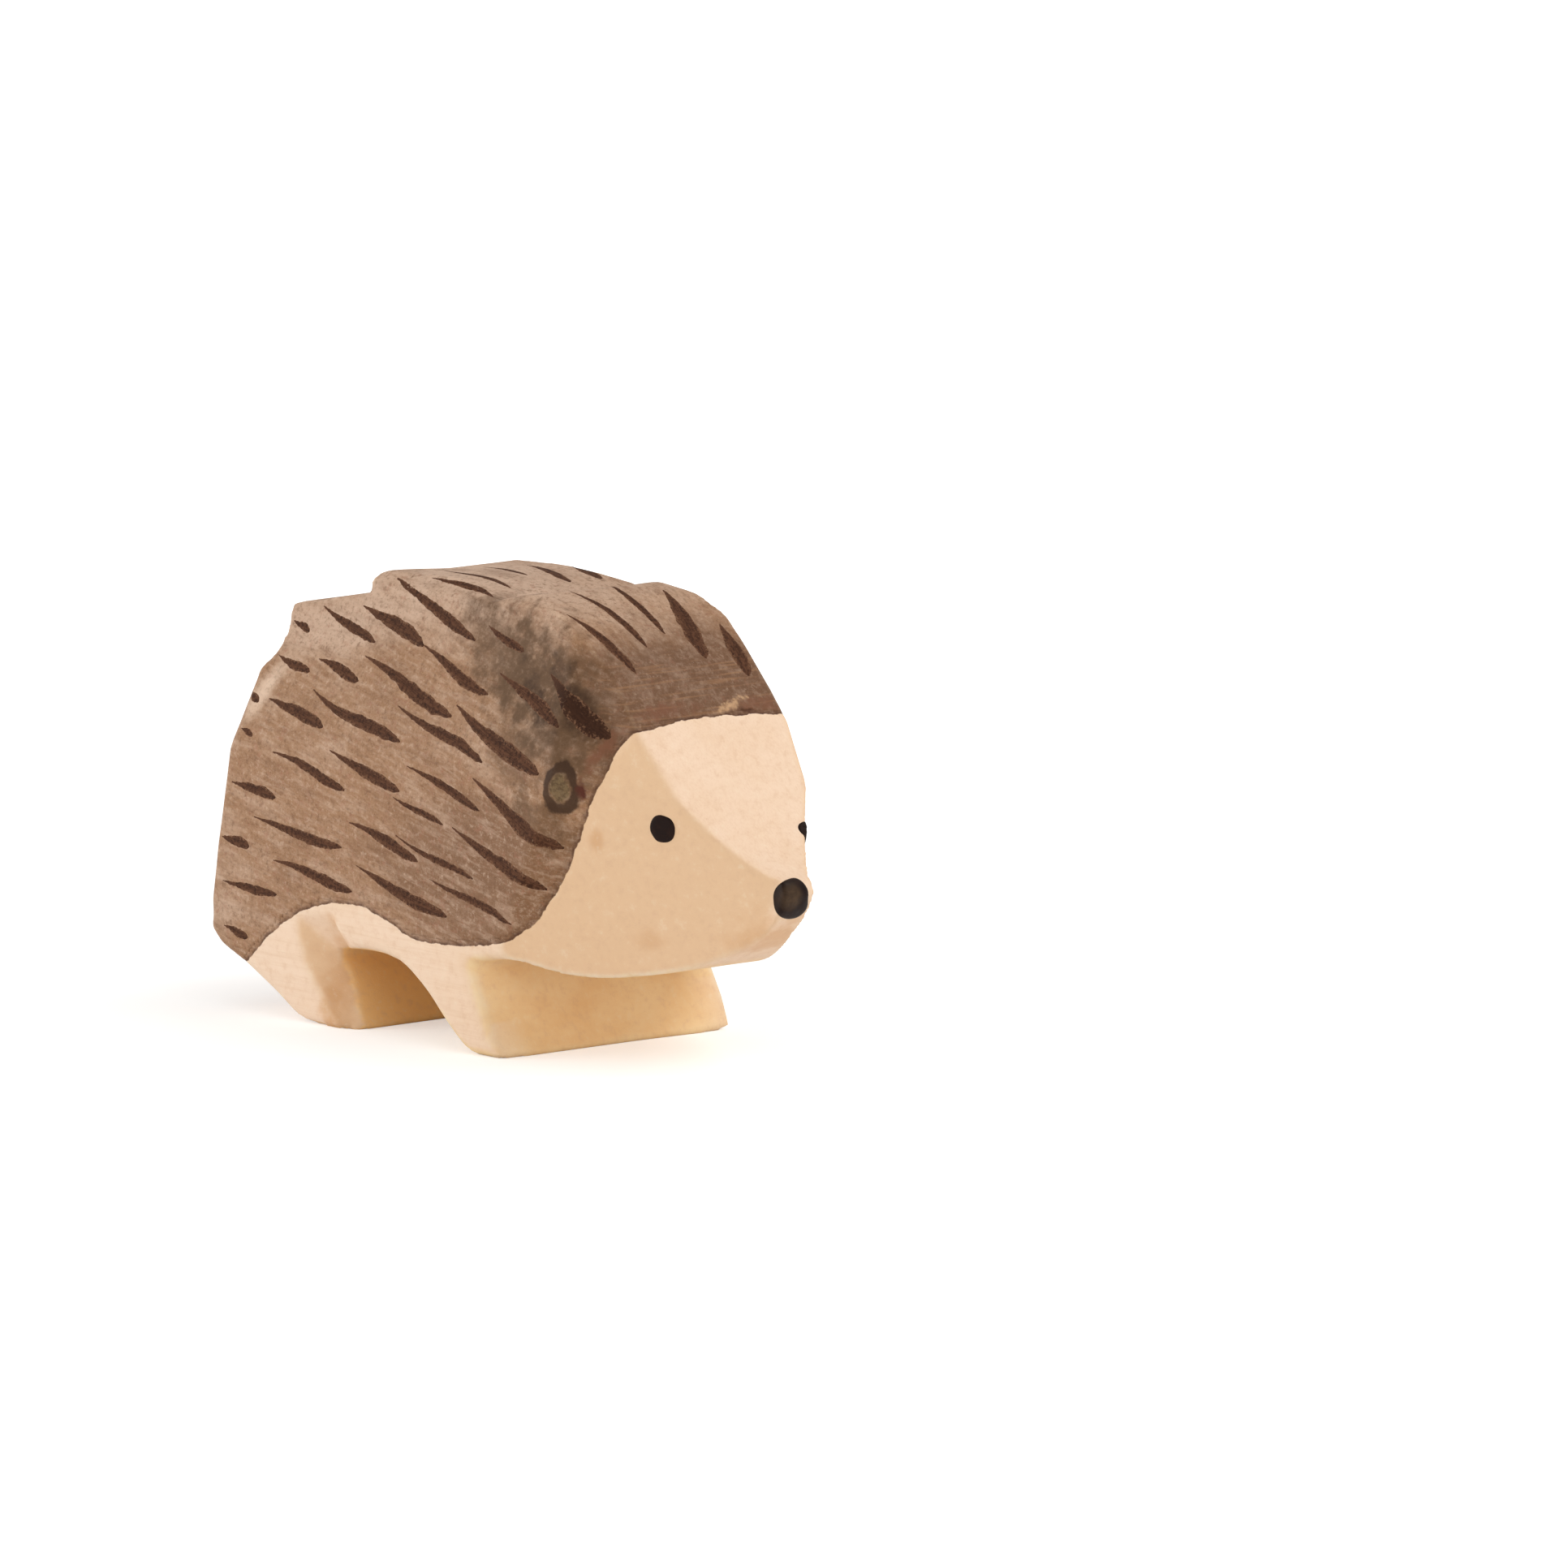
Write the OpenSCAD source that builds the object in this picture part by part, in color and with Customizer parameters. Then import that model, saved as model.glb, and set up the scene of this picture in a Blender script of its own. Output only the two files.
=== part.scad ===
// Wooden hedgehog: one sawn and knife-carved block of pale hardwood, with a brown
// glaze over the quill coat and dark brush strokes, eyes and nose painted on it.
// Millimetres, +Z up, nose toward +X, soles on z = 0, origin under the middle.

/* [Wooden body] */
// Length from rump to muzzle
body_length = 85; // [60:1:130]
// Height from the soles to the highest quill step
body_height = 52.5; // [40:0.5:80]
// Thickness of the board that the figure is sawn from
body_width = 35; // [28:0.5:54]
// Radius that sanding leaves along the edges of the flanks
edge_radius = 1.4; // [0.8:0.1:1.8]
// Radius of the corners of the sawn outline: quill tips, feet and jaw
tip_radius = 2; // [1:0.1:3]

/* [Knife work] */
// Width of the flat that is left along the crown
crown_width = 20.5; // [17:0.5:25]
// Height at which the flanks start to lean in to the crown
shoulder_height = 33; // [28:0.5:38]
// Width of the muzzle behind the nose paint
muzzle_width = 4.4; // [3.6:0.1:6]
// Length of each cheek facet from the flank to the muzzle
cheek_length = 26.7; // [22:0.1:31]
// Lean of the cheek facets, drawn in toward the jaw, degrees
cheek_undercut = 23.5; // [12:0.5:30]
// Angle of the brow facets to the middle plane, degrees
brow_angle = 36.5; // [30:0.5:44]
// Lean of the brow facets, drawn in toward the crown, degrees
brow_lean = 25; // [15:0.5:32]
// Angle of the temple facets, above and behind the brow facets, degrees
temple_angle = 27; // [20:0.5:34]
// Lean of the temple facets, drawn in toward the crown, degrees
temple_lean = 44; // [36:0.5:50]
// Width of the bevel down both rump corners
rump_bevel = 2; // [1.2:0.1:2.8]
// Width of the bevel on the front corners of the hind legs
leg_bevel = 2.8; // [1.6:0.1:3.6]

/* [Painting] */
// Depth that the brown glaze soaks into the wood
coat_depth = 0.4; // [0.3:0.05:0.6]
// Thickness of the brush strokes over the glaze
stroke_film = 0.15; // [0.1:0.05:0.3]
// Length of a full quill stroke
stroke_length = 18; // [13:0.5:21]
// Width of a full quill stroke
stroke_width = 2.4; // [1.6:0.1:3]
// Width of each eye
eye_size = 3; // [2:0.1:3.6]
// Height of the paint drop at the middle of each eye
eye_film = 0.3; // [0.2:0.05:0.5]
// Width of the nose paint across the muzzle
nose_width = 4.6; // [3.6:0.1:5.4]
// Height of the nose paint
nose_height = 4.7; // [3.6:0.1:5.4]
// Thickness of the nose paint
nose_film = 0.3; // [0.2:0.05:0.5]

/* [Hidden] */

// One overrun serves every cutter, and one speck marks the corners of the hulls.
overrun = body_width;
speck = edge_radius / 100;

// Steps of a curve between two of its control points.
curve_steps = 3;
// Steps of the arc at a rounded corner of the sawn outline.
corner_steps = 4;
// Rings of the sanded edge, and the turn past which a corner is rounded, degrees.
edge_rings = 3;
least_turn = 22;

// Side outline in shares of [body_length, body_height], run by run, anticlockwise
// from the hind sole. A run of two points is straight and a longer one is a curve.
hind_sole_shares = [[-0.260, 0], [-0.188, 0]];
arch_rear_shares = [[-0.188, 0], [-0.216, 0.080], [-0.252, 0.166]];
arch_roof_shares = [[-0.252, 0.166], [-0.205, 0.178], [-0.155, 0.182], [-0.115, 0.178],
    [-0.083, 0.163], [-0.036, 0.115], [-0.001, 0.064], [0.036, 0.016], [0.060, 0]];
front_sole_shares = [[0.060, 0], [0.122, 0]];
front_leg_shares = [[0.122, 0], [0.090, 0.090], [0.060, 0.200]];
jaw_shares = [[0.060, 0.200], [0.098, 0.214], [0.137, 0.219], [0.172, 0.203],
    [0.218, 0.191], [0.263, 0.195], [0.320, 0.210], [0.364, 0.230], [0.397, 0.252]];
muzzle_shares = [[0.397, 0.252], [0.440, 0.291], [0.468, 0.330], [0.487, 0.368],
    [0.4965, 0.404], [0.490, 0.434]];
face_shares = [[0.490, 0.434], [0.467, 0.450], [0.425, 0.509], [0.381, 0.598],
    [0.320, 0.732], [0.243, 0.877], [0.154, 0.968], [0.082, 0.999]];
step_1_shares = [[0.082, 0.999], [0.045, 0.989], [0.012, 0.971]];
step_2_shares = [[0.012, 0.971], [-0.028, 0.989], [-0.066, 0.998], [-0.110, 1],
    [-0.160, 0.997], [-0.216, 0.990]];
drop_2_shares = [[-0.216, 0.990], [-0.231, 0.950]];
step_3_shares = [[-0.231, 0.950], [-0.310, 0.925], [-0.384, 0.891]];
drop_3_shares = [[-0.384, 0.891], [-0.383, 0.845], [-0.393, 0.793], [-0.423, 0.745]];
step_4_shares = [[-0.423, 0.745], [-0.445, 0.703]];
rump_shares = [[-0.445, 0.703], [-0.458, 0.645], [-0.470, 0.545], [-0.485, 0.400],
    [-0.498, 0.260], [-0.500, 0.205], [-0.496, 0.172]];
haunch_shares = [[-0.496, 0.172], [-0.470, 0.139], [-0.422, 0.106], [-0.351, 0.049],
    [-0.304, 0.008], [-0.260, 0]];
side_runs = [hind_sole_shares, arch_rear_shares, arch_roof_shares, front_sole_shares,
    front_leg_shares, jaw_shares, muzzle_shares, face_shares, step_1_shares,
    step_2_shares, drop_2_shares, step_3_shares, drop_3_shares, step_4_shares,
    rump_shares, haunch_shares];

// Flank outline from the front: how far the half width has drawn in from the flank
// (0) to the crown (1), and how far the height has risen from shoulder to crown.
lean_shares = [[0, 0], [0.180, 0.220], [0.580, 0.550], [0.930, 0.930], [1.350, 1.010]];

function catmull(a, b, c, d, t) =
    (2 * b + (c - a) * t + (2 * a - 5 * b + 4 * c - d) * t * t
        + (3 * b - a - 3 * c + d) * t * t * t) / 2;

// Points of one run without its last, which the next run starts with.
function curve(p) = len(p) < 3
    ? [p[0]]
    : [for (i = [0 : len(p) - 2]) for (s = [0 : curve_steps - 1])
        catmull(p[max(i - 1, 0)], p[i], p[i + 1], p[min(i + 2, len(p) - 1)],
            s / curve_steps)];

function side_points() =
    [for (run = side_runs) for (p = curve(run)) [p.x * body_length, p.y * body_height]];

muzzle_half = muzzle_width / 2;
body_half = body_width / 2;
crown_half = crown_width / 2;

function lean_points() =
    [for (p = lean_shares) [body_half - p.x * (body_half - crown_half),
        shoulder_height + p.y * (body_height - shoulder_height)]];

function turn_at(p, i) =
    let (n = len(p), a = p[i] - p[(i + n - 1) % n], b = p[(i + 1) % n] - p[i])
    atan2(a.x * b.y - a.y * b.x, a * b);

// Room for a corner's radius between its neighbours.
function room_at(p, i) =
    let (n = len(p), a = norm(p[i] - p[(i + n - 1) % n]), b = norm(p[(i + 1) % n] - p[i]))
    min(tip_radius, 0.45 * min(a, b) / tan(abs(turn_at(p, i)) / 2));

// A point of the arc between two places, drawn toward the corner between them.
function arc_point(from, corner, to, s) =
    pow(1 - s, 2) * from + 2 * s * (1 - s) * corner + pow(s, 2) * to;

// The sawn outline with its outer corners rounded: [point, room for an edge radius].
function sawn(p) =
    [for (i = [0 : len(p) - 1])
        let (n = len(p), q = p[i], turn = turn_at(p, i))
        each turn < least_turn ? [[q, body_height]] :
            let (r = room_at(p, i), t = r * tan(turn / 2),
                a = p[(i + n - 1) % n] - q, b = p[(i + 1) % n] - q,
                from = q + t * a / norm(a), to = q + t * b / norm(b))
            [for (k = [0 : corner_steps]) [arc_point(from, q, to, k / corner_steps), r]]];

sawn_outline = sawn(side_points());
sawn_places = [for (v = sawn_outline) v[0]];

// Outward way of each corner, as long as moves both of its edges by one.
function miter(p, i) =
    let (n = len(p), a = p[i] - p[(i + n - 1) % n], b = p[(i + 1) % n] - p[i],
        u = [a.y, -a.x] / norm(a), v = [b.y, -b.x] / norm(b))
    (u + v) / (1 + u * v);

miters = [for (i = [0 : len(sawn_places) - 1]) miter(sawn_places, i)];

// One ring of the board: the outline at an angle round its sanded edge.
function ring(angle, side, grow) =
    [for (i = [0 : len(sawn_places) - 1])
        let (inset = min(edge_radius, 0.9 * sawn_outline[i][1]) * (1 - cos(angle)),
            q = sawn_places[i] + miters[i] * (grow * cos(angle) - inset))
        [q.x, side * (body_half - edge_radius + (edge_radius + grow) * sin(angle)), q.y]];

// The sawn board with sanded edges, its skin moved out by grow.
module board(grow) {
    n = len(sawn_places);
    turns = [for (k = [0 : edge_rings]) 90 * k / edge_rings];
    rings = concat([for (k = [edge_rings : -1 : 0]) ring(turns[k], -1, grow)],
        [for (k = [0 : edge_rings]) ring(turns[k], 1, grow)]);
    sides = [for (k = [0 : len(rings) - 2]) for (i = [0 : n - 1])
        let (a = k * n + i, b = k * n + (i + 1) % n)
        each [[a, b + n, a + n], [a, b, b + n]]];
    polyhedron([for (r = rings) each r],
        concat(sides, [[for (i = [n - 1 : -1 : 0]) i],
            [for (i = [0 : n - 1]) (len(rings) - 1) * n + i]]));
}

// Places that the knife facets of the head are set out from.
nose_x_share = 0.476;
nose_z_share = 0.392;
brow_x_share = 0.319;
brow_z_share = 0.732;
brow_half_share = 0.631;
foot_top_share = 0.190;
nose_x = nose_x_share * body_length;
nose_z = nose_z_share * body_height;
brow_x = brow_x_share * body_length;
brow_z = brow_z_share * body_height;
brow_half = brow_half_share * body_half;

// The board as it is seen from above, drawn in by a facet on each side.
module plan(from_x, to_x, to_half) {
    polygon([[-body_length, -body_half], [from_x, -body_half], [to_x, -to_half],
        [body_length, -to_half], [body_length, to_half], [to_x, to_half],
        [from_x, body_half], [-body_length, body_half]]);
}

// The same outline run up along a slope, so that its facets lean.
module leaning(slope, z) {
    multmatrix([[1, 0, slope, -slope * z], [0, 1, 0, 0], [0, 0, 1, 0]])
        linear_extrude(body_height * 3, center = true) children();
}

// Cheek facets, over the whole front feet, which they leave as they are.
module cheeks(inset) {
    leaning(tan(cheek_undercut), nose_z)
        offset(delta = -inset) plan(nose_x - cheek_length, nose_x, muzzle_half);
    translate([0, 0, foot_top_share * body_height - overrun / 2])
        cube([2 * body_length, body_width - 2 * inset, overrun], center = true);
}

// A facet on each side that passes the brow corners at its own angle and lean.
module head_facets(angle, lean, inset) {
    leaning(-tan(lean), brow_z)
        offset(delta = -inset)
            plan(brow_x - (body_half - brow_half) / tan(angle),
                brow_x + (brow_half - muzzle_half) / tan(angle), muzzle_half);
}

module front_outline() {
    half = concat([[body_half, -overrun]], lean_points());
    rest = [for (i = [len(half) - 1 : -1 : 0]) [-half[i].x, half[i].y]];
    polygon(concat(half, rest));
}

// Knife bevels: places on the side outline, in shares, then the bevel's reach over the
// flank and over the sawn side, as shares of its named width, and the way over the
// flank, degrees.
rump_bevel_shares = [[-0.388, 0.850, 1, 1, -29], [-0.424, 0.745, 1.6, 1.6, -26],
    [-0.466, 0.590, 1.1, 1.1, -15], [-0.490, 0.360, 0.9, 0.9, -8],
    [-0.498, 0.240, 0.8, 0.8, -2], [-0.494, 0.168, 0.6, 0.6, 35],
    [-0.450, 0.128, 0.05, 0.05, 60]];
leg_bevel_shares = [[-0.180, -0.020, 1.07, 0.8, 165], [-0.200, 0.040, 1.4, 0.9, 163],
    [-0.218, 0.085, 1.9, 1, 159], [-0.240, 0.135, 1.85, 0.93, 150],
    [-0.252, 0.166, 2, 0.9, 139], [-0.225, 0.176, 1.2, 0.55, 105],
    [-0.185, 0.180, 0.5, 0.25, 95], [-0.110, 0.178, 0.05, 0.05, 90]];

// Corners of the wedge that a bevel takes off, in shares of its two reaches. Its long
// side passes the figure at one reach from the corner both ways.
wedge_shares = [[2.5, -1.5], [-1.5, -1.5], [-1.5, 2.5]];

// One station of a bevel: a corner wedge, with the flank at -body_half.
module bevel_station(place, width, inset) {
    into = [cos(place[4]), sin(place[4])];
    edge = [place.x * body_length, place.y * body_height] + into * inset;
    for (corner = wedge_shares) {
        p = edge + into * place[2] * width * corner.x;
        translate([p.x, -body_half + inset + place[3] * width * corner.y, p.y])
            cube(speck, center = true);
    }
}

module bevel(places, width, inset) {
    for (i = [0 : len(places) - 2])
        hull() {
            bevel_station(places[i], width, inset);
            bevel_station(places[i + 1], width, inset);
        }
}

module bevels(inset) {
    for (side = [0, 1])
        mirror([0, side, 0]) {
            bevel(rump_bevel_shares, rump_bevel, inset);
            bevel(leg_bevel_shares, leg_bevel, inset);
        }
}

// The figure with its skin moved out by grow, or in where it is negative.
module body_form(grow) {
    difference() {
        intersection() {
            board(grow);
            rotate([90, 0, 90])
                linear_extrude(body_length * 2, center = true)
                    offset(delta = grow) front_outline();
            union() cheeks(-grow);
            head_facets(brow_angle, brow_lean, -grow);
            head_facets(temple_angle, temple_lean, -grow);
        }
        bevels(-grow);
    }
}

// Edge of the glaze in shares of [body_length, body_height], from the haunch along
// the flank and up the cheek to the brow.
coat_edge_shares = [[-0.440, 0.090], [-0.405, 0.118], [-0.380, 0.153], [-0.360, 0.181],
    [-0.329, 0.216], [-0.299, 0.243], [-0.269, 0.260], [-0.229, 0.275], [-0.168, 0.282],
    [-0.107, 0.258], [-0.056, 0.232], [0.022, 0.233], [0.076, 0.244], [0.128, 0.260],
    [0.153, 0.284], [0.177, 0.316], [0.202, 0.371], [0.226, 0.432], [0.258, 0.537],
    [0.275, 0.597], [0.292, 0.650], [0.298, 0.698], [0.309, 0.734], [0.330, 0.772]];

// Everything over the edge of the glaze, right across the figure.
module over_coat_edge() {
    edge = [for (p = curve(coat_edge_shares)) [p.x * body_length, p.y * body_height]];
    rotate([90, 0, 0])
        linear_extrude(2 * overrun, center = true)
            polygon(concat(edge, [[body_length, body_height], [body_length, 2 * body_height],
                [-body_length, 2 * body_height], [-body_length, 0]]));
}

// The wood, let down by the depth of the glaze where that covers it.
module carved_body() {
    color("wheat") difference() {
        body_form(0);
        difference() {
            over_coat_edge();
            body_form(-coat_depth);
        }
    }
}

module brown_coat() {
    color("rosybrown") difference() {
        intersection() {
            body_form(0);
            over_coat_edge();
        }
        body_form(-coat_depth);
    }
}

// Brush strokes: place of the middle in shares of the figure, length and width in
// shares of a full stroke, and the turn of the broad end, degrees.
flank_stroke_shares = [
    [-0.314, 0.680, 0.59, 0.75, -11], [-0.191, 0.695, 0.97, 0.70, -13],
    [-0.254, 0.781, 0.45, 0.62, -12], [-0.106, 0.773, 1.03, 0.75, -15],
    [-0.260, 0.878, 0.60, 0.55, -16], [-0.171, 0.890, 0.69, 0.80, -15],
    [-0.024, 0.823, 0.79, 0.60, -17], [-0.098, 0.937, 0.97, 0.62, -17],
    [-0.015, 0.688, 0.96, 0.62, -15], [0.101, 0.697, 0.99, 0.95, -19],
    [-0.276, 0.560, 0.73, 0.62, -13], [-0.158, 0.583, 0.71, 0.75, -15],
    [-0.047, 0.516, 0.51, 0.40, -14], [0.006, 0.575, 0.74, 0.55, -16],
    [0.147, 0.546, 0.84, 0.95, -26], [-0.392, 0.497, 0.44, 0.62, -7],
    [-0.431, 0.375, 0.28, 0.62, -7], [-0.299, 0.421, 0.88, 0.62, -6],
    [-0.119, 0.434, 0.70, 0.70, -14], [-0.013, 0.421, 0.78, 0.42, -14],
    [0.110, 0.440, 0.87, 0.80, -21], [-0.268, 0.330, 0.79, 0.65, -8],
    [-0.082, 0.333, 0.92, 0.75, -14], [0.060, 0.337, 0.81, 0.50, -14],
    [-0.401, 0.278, 0.54, 0.55, -3], [-0.430, 0.176, 0.24, 0.50, -12],
    [-0.355, 0.857, 0.18, 0.40, -16],
    [-0.347, 0.779, 0.35, 0.50, -11], [-0.409, 0.697, 0.14, 0.50, -15],
    [-0.406, 0.623, 0.12, 0.40, -15], [0.061, 0.903, 0.41, 0.50, -17],
    [0.140, 0.787, 0.74, 0.70, -20], [0.225, 0.787, 0.65, 1.10, -32]];
back_stroke_shares = [
    [-0.071, -0.260, 0.66, 0.50, -4], [-0.099, -0.140, 0.73, 0.48, -5],
    [-0.116, 0.014, 0.50, 0.42, -6], [-0.074, 0.114, 0.58, 0.66, -12],
    [-0.050, 0.226, 0.36, 0.70, -8], [-0.310, -0.170, 0.45, 0.50, 4],
    [-0.325, 0.020, 0.50, 0.60, -3], [-0.300, 0.190, 0.42, 0.50, -6]];
brow_stroke_shares = [
    [0.158, -0.111, 0.65, 0.58, 8], [0.143, 0.034, 0.63, 0.50, -4],
    [0.205, -0.240, 0.52, 0.75, 17], [0.188, 0.151, 0.60, 1.15, -14],
    [0.240, 0.257, 0.33, 1, -7]];
rump_stroke_shares = [
    [-0.230, 0.610, 0.40, 0.55, -84], [0.010, 0.640, 0.42, 0.60, -91],
    [0.250, 0.600, 0.38, 0.50, -97], [-0.120, 0.470, 0.46, 0.60, -88],
    [0.130, 0.450, 0.44, 0.60, -93]];

// Half outline of a stroke: shares of its length from the fine end, then of its half
// width.
spindle_shares = [[0, 0.1], [0.20, 0.42], [0.45, 0.85], [0.66, 1], [0.88, 0.72], [1, 0.14]];

// Strokes on a plane, placed in shares of the sizes across and up.
module strokes(places, across, up) {
    for (p = places) {
        upper = [for (s = spindle_shares)
            [(s.x - 0.5) * p[2] * stroke_length, s.y * p[3] * stroke_width / 2]];
        lower = [for (i = [len(upper) - 1 : -1 : 0]) [upper[i].x, -upper[i].y]];
        translate([p[0] * across, p[1] * up])
            rotate(p[4]) polygon(concat(upper, lower));
    }
}

// Paint as thick as film, lying on the figure inside its children.
module paint(film) {
    difference() {
        intersection() {
            body_form(film);
            children();
        }
        body_form(0);
    }
}

module flank_strokes() {
    paint(stroke_film)
        translate([0, -crown_half / 2, 0])
            rotate([90, 0, 0])
                linear_extrude(overrun) strokes(flank_stroke_shares, body_length, body_height);
}

module quill_strokes_right_flank() {
    color("saddlebrown") flank_strokes();
}

module quill_strokes_left_flank() {
    color("saddlebrown") mirror([0, 1, 0]) flank_strokes();
}

module top_strokes(places) {
    color("saddlebrown") paint(stroke_film)
        translate([0, 0, shoulder_height])
            linear_extrude(body_height) strokes(places, body_length, body_width);
}

module quill_strokes_back() {
    top_strokes(back_stroke_shares);
}

module quill_strokes_brow() {
    top_strokes(brow_stroke_shares);
}

module quill_strokes_rump() {
    color("saddlebrown") paint(stroke_film)
        rotate([90, 0, 90])
            translate([0, 0, -body_length])
                linear_extrude(body_length) strokes(rump_stroke_shares, body_width, body_height);
}

// The eyes lie on the cheek facets, each at its own place in the side view.
right_eye_shares = [0.354, 0.539];
left_eye_shares = [0.408, 0.502];
eye_height_share = 1.1;
cheek_slope = (body_half - muzzle_half) / cheek_length;
cheek_fall = cheek_slope * tan(cheek_undercut);

module eye(places) {
    x = places.x * body_length;
    z = places.y * body_height;
    y = muzzle_half + (nose_x - x) * cheek_slope + (z - nose_z) * cheek_fall;
    color("black") difference() {
        translate([x, -y, z])
            rotate([atan(cheek_fall * cos(atan(cheek_slope))), 0, atan(cheek_slope)])
                scale([1, 2 * eye_film / eye_size, eye_height_share])
                    sphere(d = eye_size, $fn = 28);
        body_form(0);
    }
}

module eye_right() {
    eye(right_eye_shares);
}

module eye_left() {
    mirror([0, 1, 0]) eye(left_eye_shares);
}

// The nose paint starts behind the muzzle and sits a little off the middle plane.
nose_paint_shares = [0.483, -0.037, 0.393];

module nose_tip() {
    color("black") paint(nose_film)
        translate([nose_paint_shares.x * body_length, nose_paint_shares.y * body_width,
            nose_paint_shares.z * body_height])
            rotate([90, 0, 90])
                scale([nose_width / nose_height, 1, 1])
                    cylinder(d = nose_height, h = overrun, $fn = 32);
}

carved_body();
brown_coat();
quill_strokes_right_flank();
quill_strokes_left_flank();
quill_strokes_back();
quill_strokes_brow();
quill_strokes_rump();
eye_right();
eye_left();
nose_tip();
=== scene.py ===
"""Looks of a wooden hedgehog figure: carved pale wood, a brown glaze over its back, dark
brush strokes for quills, and black eyes and nose. Metres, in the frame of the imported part.
"""

import logging
import math
from dataclasses import dataclass, field
from enum import Enum

import bpy
import numpy as np
from mathutils import Matrix, Vector, noise


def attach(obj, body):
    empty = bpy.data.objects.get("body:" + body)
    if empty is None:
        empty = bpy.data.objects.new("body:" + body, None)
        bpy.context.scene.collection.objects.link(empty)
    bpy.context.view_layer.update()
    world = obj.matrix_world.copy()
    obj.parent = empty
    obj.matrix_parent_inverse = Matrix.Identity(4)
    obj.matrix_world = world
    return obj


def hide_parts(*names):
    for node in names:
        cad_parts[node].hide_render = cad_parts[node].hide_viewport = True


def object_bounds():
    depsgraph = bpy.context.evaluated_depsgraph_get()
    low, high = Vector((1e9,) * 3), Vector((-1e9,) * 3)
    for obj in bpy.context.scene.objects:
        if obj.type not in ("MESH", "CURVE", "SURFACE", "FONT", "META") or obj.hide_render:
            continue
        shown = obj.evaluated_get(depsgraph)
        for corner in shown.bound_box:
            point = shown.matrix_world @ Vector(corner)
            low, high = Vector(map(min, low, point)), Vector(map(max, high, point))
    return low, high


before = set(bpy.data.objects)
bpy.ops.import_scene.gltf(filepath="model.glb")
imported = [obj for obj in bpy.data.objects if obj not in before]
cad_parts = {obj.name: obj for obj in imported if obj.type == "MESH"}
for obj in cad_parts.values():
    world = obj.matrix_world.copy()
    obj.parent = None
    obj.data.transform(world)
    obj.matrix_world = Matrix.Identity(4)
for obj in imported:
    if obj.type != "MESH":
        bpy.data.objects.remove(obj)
CAD_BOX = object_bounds()

log = logging.getLogger("hedgehog")

MM = 0.001
BODY = "root"
LENGTH, HEIGHT, WIDTH = 85.0, 52.5, 35.0
SCREEN_WHITE = 255.0
SRGB_KNEE, SRGB_SLOPE, SRGB_LIFT, SRGB_POWER = 0.04045, 12.92, 0.055, 2.4
TINY = 1e-12

Piece = bpy.types.Object
Mesh = bpy.types.Mesh
Socket = bpy.types.NodeSocket
Colour = tuple[float, float, float, float]
Triple = tuple[float, float, float]
Shares = tuple[tuple[float, ...], ...]
Span = tuple[float, ...]


# Mesh helpers


def srgb(red: float, green: float, blue: float) -> Colour:
    """Linear colour of three 0 to 255 screen values.

    Args:
        red: red of the screen colour.
        green: green of the screen colour.
        blue: blue of the screen colour.

    Returns:
        The colour as Blender's sockets take it.
    """
    def linear(value: float) -> float:
        """Linear light of one screen value."""
        share = value / SCREEN_WHITE
        if share <= SRGB_KNEE:
            return share / SRGB_SLOPE
        return ((share + SRGB_LIFT) / (1 + SRGB_LIFT)) ** SRGB_POWER

    return (linear(red), linear(green), linear(blue), 1.0)


def pick(*pieces: Piece) -> None:
    """Selects these objects alone and makes the first one active.

    Args:
        pieces: the objects that the next operator acts on.
    """
    bpy.ops.object.select_all(action="DESELECT")
    for piece in pieces:
        piece.select_set(True)
    bpy.context.view_layer.objects.active = pieces[0]


def apply_modifier(piece: Piece, kind: str, **settings: object) -> None:
    """Adds a modifier to a piece and applies it at once.

    Args:
        piece: the mesh object.
        kind: Blender's name of the modifier.
        settings: values of the modifier's own settings.
    """
    pick(piece)
    modifier = piece.modifiers.new(kind.lower(), kind)
    for name, value in settings.items():
        setattr(modifier, name, value)
    bpy.ops.object.modifier_apply(modifier=modifier.name)


def read_rows(items: object, name: str, width: int, kind: type = np.float32) -> np.ndarray:
    """Numbers that Blender holds for each item of a list.

    Args:
        items: the list, such as a mesh's vertices.
        name: name of the value.
        width: how many numbers each item has.
        kind: NumPy's type of the numbers.

    Returns:
        The numbers, one row for each item.
    """
    values = np.empty(len(items) * width, kind)
    items.foreach_get(name, values)
    return values.reshape(-1, width)


def corners(mesh: Mesh) -> np.ndarray:
    """Places of a mesh's vertices, one row each, in metres."""
    return read_rows(mesh.vertices, "co", 3).astype(float)


def set_corners(mesh: Mesh, places: np.ndarray) -> None:
    """Writes new places of a mesh's vertices."""
    mesh.vertices.foreach_set("co", places.astype(np.float32).ravel())
    mesh.update()


def corner_normals(mesh: Mesh) -> np.ndarray:
    """Outward normals at a mesh's vertices, one row each."""
    return read_rows(mesh.vertex_normals, "vector", 3).astype(float)


def keep_in_box(mesh: Mesh) -> None:
    """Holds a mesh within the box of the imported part."""
    low, high = (np.array(corner, float) for corner in CAD_BOX)
    set_corners(mesh, np.clip(corners(mesh), low, high))


def write_attribute(mesh: Mesh, name: str, values: np.ndarray) -> None:
    """Stores one number per vertex for the materials to read."""
    attribute = mesh.attributes.new(name, "FLOAT", "POINT")
    attribute.data.foreach_set("value", values.astype(np.float32))


def read_attribute(mesh: Mesh, name: str) -> np.ndarray:
    """One number per vertex, as write_attribute stored it."""
    return read_rows(mesh.attributes[name].data, "value", 1)[:, 0].astype(float)


def ramp(values: np.ndarray, start: float, full: float) -> np.ndarray:
    """Shares that run from 0 at one value to 1 at another."""
    return np.clip((values - start) / (full - start), 0, 1)


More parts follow.
